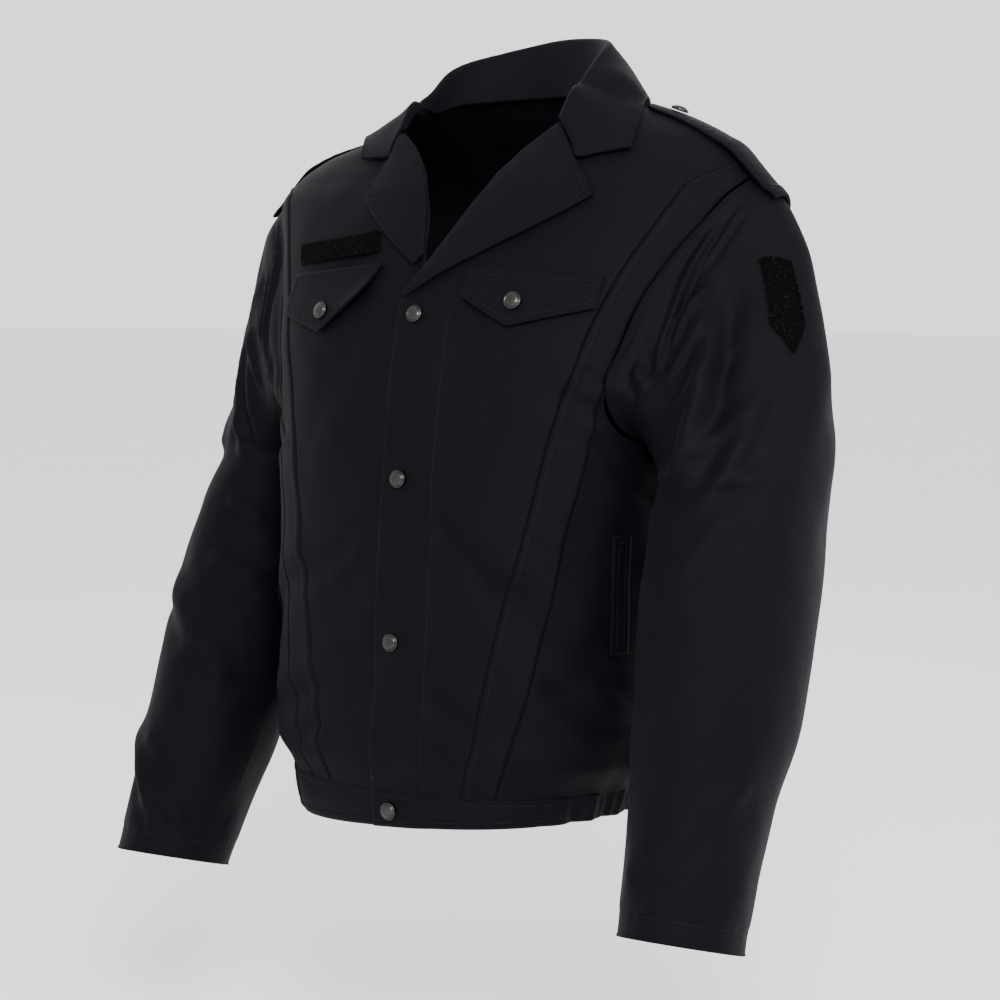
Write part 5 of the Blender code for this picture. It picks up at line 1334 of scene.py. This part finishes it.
def waistband():
    """Elastic band: the section's line moved out by uneven gathers at both sides, its lapped end over the other, with two rows of thread."""
    start = -math.degrees(math.asin(LAP_OVER / BAND_REACH))
    end = 360 + math.degrees(math.asin(LAP_UNDER / BAND_REACH))
    turns = np.concatenate([
        np.linspace(start, GATHER_FROM, 44)[:-1], np.linspace(GATHER_FROM, GATHER_TO, 230),
        np.linspace(GATHER_TO, 360 - GATHER_TO, 70)[1:-1], np.linspace(360 - GATHER_TO, 360 - GATHER_FROM, 230),
        np.linspace(360 - GATHER_FROM, end, 44)[1:],
    ])
    folded = np.minimum(turns, 360 - turns)
    share = (folded - GATHER_FROM) / (GATHER_TO - GATHER_FROM)
    window = smooth_step(share * 6) * smooth_step((1 - share) * 6)
    wave = GATHER_DEPTH * window * np.cos(2 * math.pi * GATHER_WAVES * share)
    fine = 0.0009 * window * np.sin(2 * math.pi * 27 * share + 1.8 * np.sin(2 * math.pi * 3.1 * share + np.sign(180 - turns)))
    fold_over = LAP_LIFT * smooth_step((BAND_LAP_END - turns) / BAND_LAP_FADE)
    turn = np.radians(turns)[:, None]
    down = np.concatenate([[1.0, 0.975, 0.93], np.linspace(0.87, 0.10, 22), [0.05, 0.02, 0.0]])[None, :]
    top = BAND_TOP - 1.5 * SEAM_GAP
    normal = body_normal(turn, top - BAND_DEPTH * down)
    rolled = -0.0010 * (1 - smooth_step(down / 0.07)) - 0.0012 * (1 - smooth_step((1 - down) / 0.07))
    puffed = 0.0006 * np.sin(np.pi * down) ** 2
    thread = -0.0003 * (np.exp(-(((down - 0.2) / 0.03) ** 2)) + np.exp(-(((down - 0.8) / 0.03) ** 2)))
    lifted = (wave + fold_over)[:, None] + fine[:, None] * (1 - 0.6 * (2 * down - 1) ** 2) + rolled + puffed + thread
    points = body_plain(turn, top - BAND_DEPTH * down) + normal * lifted[..., None]
    points[..., 2] += BAND_SLANT * points[..., 0] * down
    cloth("waistband", points, DOUBLE_CLOTH)
    stitch("body", *inset_line(points, "bottom", 0.0058))
    stitch("body", *inset_line(points, "top", 0.0058))


# ---- snaps ----

def snap(node, place, direction):
    """Domed snap cap: its profile of dome, groove and rolled rim is turned about its axis in 48 steps."""
    radius, height = SNAP_RADIUS, SNAP_HEIGHT
    profile = np.array([
        (0.0, 1.0), (0.12, 0.998), (0.28, 0.985), (0.45, 0.945), (0.60, 0.865), (0.70, 0.775), (0.745, 0.70),
        (0.765, 0.60), (0.79, 0.53), (0.82, 0.52), (0.85, 0.57), (0.89, 0.605), (0.93, 0.59), (0.965, 0.52),
        (0.99, 0.40), (1.0, 0.27), (0.995, 0.12), (0.97, 0.0), (0.80, -0.02), (0.0, -0.02),
    ])
    radii, heights = profile[1:-1, 0] * radius, profile[1:-1, 1] * height
    angle = np.linspace(0, 2 * math.pi, 48, endpoint=False)
    axis = Vector(direction).to_track_quat("Z", "Y").to_matrix()
    turn = np.array(axis)
    ring = np.stack([
        radii[:, None] * np.cos(angle), radii[:, None] * np.sin(angle), np.broadcast_to(heights[:, None], (len(radii), 48)),
    ], -1)
    poles = np.array([[0.0, 0.0, profile[0, 1] * height], [0.0, 0.0, profile[-1, 1] * height]])
    points = np.concatenate([ring.reshape(-1, 3), poles]) @ turn.T + np.asarray(place)
    index = np.arange(len(radii) * 48).reshape(len(radii), 48)
    turned = np.roll(index, -1, axis=1)
    quads = np.stack([index[:-1], index[1:], turned[1:], turned[:-1]], -1).reshape(-1, 4).tolist()
    top, under = len(points) - 2, len(points) - 1
    caps = [(top, int(a), int(b)) for a, b in zip(index[0], turned[0])] + [(under, int(b), int(a)) for a, b in zip(index[-1], turned[-1])]
    mesh = bpy.data.meshes.new(f"{node}_cap")
    mesh.from_pydata(points.tolist(), [], quads + caps)
    mesh.materials.append(CAP)
    mesh.shade_smooth()
    piece = bpy.data.objects.new(f"{node}_cap", mesh)
    bpy.context.scene.collection.objects.link(piece)
    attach(piece, "root")
    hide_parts(node)


def snap_on_body(node, turn, height, lift):
    """Snap on the torso, its base just clear of the cloth below it."""
    angle = np.radians(turn)
    place = body(angle, height, lift + 0.0003)
    snap(node, place, body_normal(angle, np.asarray(height)).tolist())


def snap_on_strap(node, side):
    """Snap near the neck end of a shoulder strap, square to the shoulder's slope."""
    x, y = np.array(STRAP_SNAP_X), np.array(STRAP_CENTRE_Y)
    step = 0.004
    rise_x = (shoulder_height(side * (x + step), y) - shoulder_height(side * (x - step), y)) / (2 * step)
    rise_y = (shoulder_height(side * x, y + step) - shoulder_height(side * x, y - step)) / (2 * step)
    direction = unit(np.array([-rise_x, -rise_y, 1.0]))
    place = np.array([x, y, shoulder_height(side * x, y)]) + direction * (STRAP_THICKNESS + 0.0018)
    mirror = np.array([side, 1.0, 1.0])
    snap(node, place * mirror, (direction * mirror).tolist())


for side in (1, -1):
    front_center(side)
    front_strip(side)
    side_panel(side)
    sleeve(side)
    lapel(side)
    epaulette(side)
    side_welt(side)
back_panel()
waistband()
collar()
bar_tack()
pocket_flap("pocket_flap_left", FLAP_LEFT, 0.0)
pocket_flap("pocket_flap_right", FLAP_RIGHT, FLAP_SLACK)
name_strip()
arm_patch()
for number in range(3):
    snap_on_body(f"snap_front_{number + 1}", 0.0, FRONT_SNAP_FIRST - number * FRONT_SNAP_STEP, LAP_LIFT + 0.0002)
snap_on_body("snap_waistband", 0.0, WAIST_SNAP_HEIGHT, LAP_LIFT + 0.0002)
snap_on_body("snap_flap_left", *FLAP_LEFT_SNAP, DOUBLE_CLOTH + 0.0022)
snap_on_body("snap_flap_right", *FLAP_RIGHT_SNAP, DOUBLE_CLOTH + 0.0022)
snap_on_strap("snap_epaulette_left", 1)
snap_on_strap("snap_epaulette_right", -1)
for group, rows in seams.items():
    if rows:
        thread_piece(f"thread_{group}", rows)


# ---- floor, light and camera ----

def plain(name, colour, roughness):
    """Matt finish with a faint unevenness, for the floor."""
    finish = Finish(name, (*colour, 1.0))
    place = finish.add("ShaderNodeTexCoord", None, None, 3)
    noise = finish.add("ShaderNodeTexNoise", None, {"Vector": place, "Scale": 3.0, "Detail": 3.0})
    shade = finish.add(
        "ShaderNodeMix", {"data_type": "RGBA"},
        {"Factor": noise, "A": (*colour, 1.0), "B": (*(0.97 * part for part in colour), 1.0)}, 2,
    )
    return finish.surface({"Base Color": shade, "Roughness": roughness})


floor_mesh = bpy.data.meshes.new("studio_floor")
reach = 40.0
level = -0.78
floor_mesh.from_pydata([(-reach, -reach, level), (reach, -reach, level), (reach, reach, level), (-reach, reach, level)], [], [(0, 1, 2, 3)])
floor_mesh.materials.append(plain("pale_floor", (0.90, 0.90, 0.90), 0.9))
floor = bpy.data.objects.new("studio_floor", floor_mesh)
bpy.context.scene.collection.objects.link(floor)

world = bpy.data.worlds.new("studio")
world.use_nodes = True
world.node_tree.nodes["Background"].inputs["Color"].default_value = (1.0, 1.0, 1.0, 1.0)
world.node_tree.nodes["Background"].inputs["Strength"].default_value = 1.7
bpy.context.scene.world = world


def lamp(name, place, towards, size, power):
    """Square soft light at a place, turned to a point."""
    light = bpy.data.lights.new(name, "AREA")
    light.size = size
    light.energy = power
    holder = bpy.data.objects.new(name, light)
    holder.location = place
    holder.rotation_mode = "QUATERNION"
    holder.rotation_quaternion = (Vector(towards) - Vector(place)).to_track_quat("-Z", "Y")
    bpy.context.scene.collection.objects.link(holder)


lamp("key", (1.5, -1.9, 1.1), (0.0, 0.0, -0.2), 0.8, 105.0)
lamp("side", (2.3, -0.4, 0.6), (0.0, 0.0, -0.2), 0.9, 22.0)
lamp("back", (-1.2, 2.4, 1.6), (0.0, 0.0, -0.25), 1.4, 14.0)

# Camera as the photographer stood: a third of the way round to the wearer's left, a little above
turned, raised, distance = math.radians(33.0), math.radians(5.0), 1.9
right = Vector((math.cos(turned), math.sin(turned), 0.0))
forward = Vector((-math.sin(turned) * math.cos(raised), math.cos(turned) * math.cos(raised), -math.sin(raised)))
target = Vector((0.0, 0.0, -0.289)) + right * 0.0025
camera = bpy.data.objects.new("photo_camera", bpy.data.cameras.new("photo_camera"))
camera.data.sensor_width = 36.0
camera.data.lens = 36.0 * 2.280
camera.data.clip_start, camera.data.clip_end = 0.05, 200.0
camera.location = target - forward * distance
camera.rotation_mode = "QUATERNION"
camera.rotation_quaternion = forward.to_track_quat("-Z", "Y")
bpy.context.scene.collection.objects.link(camera)
bpy.context.scene.camera = camera
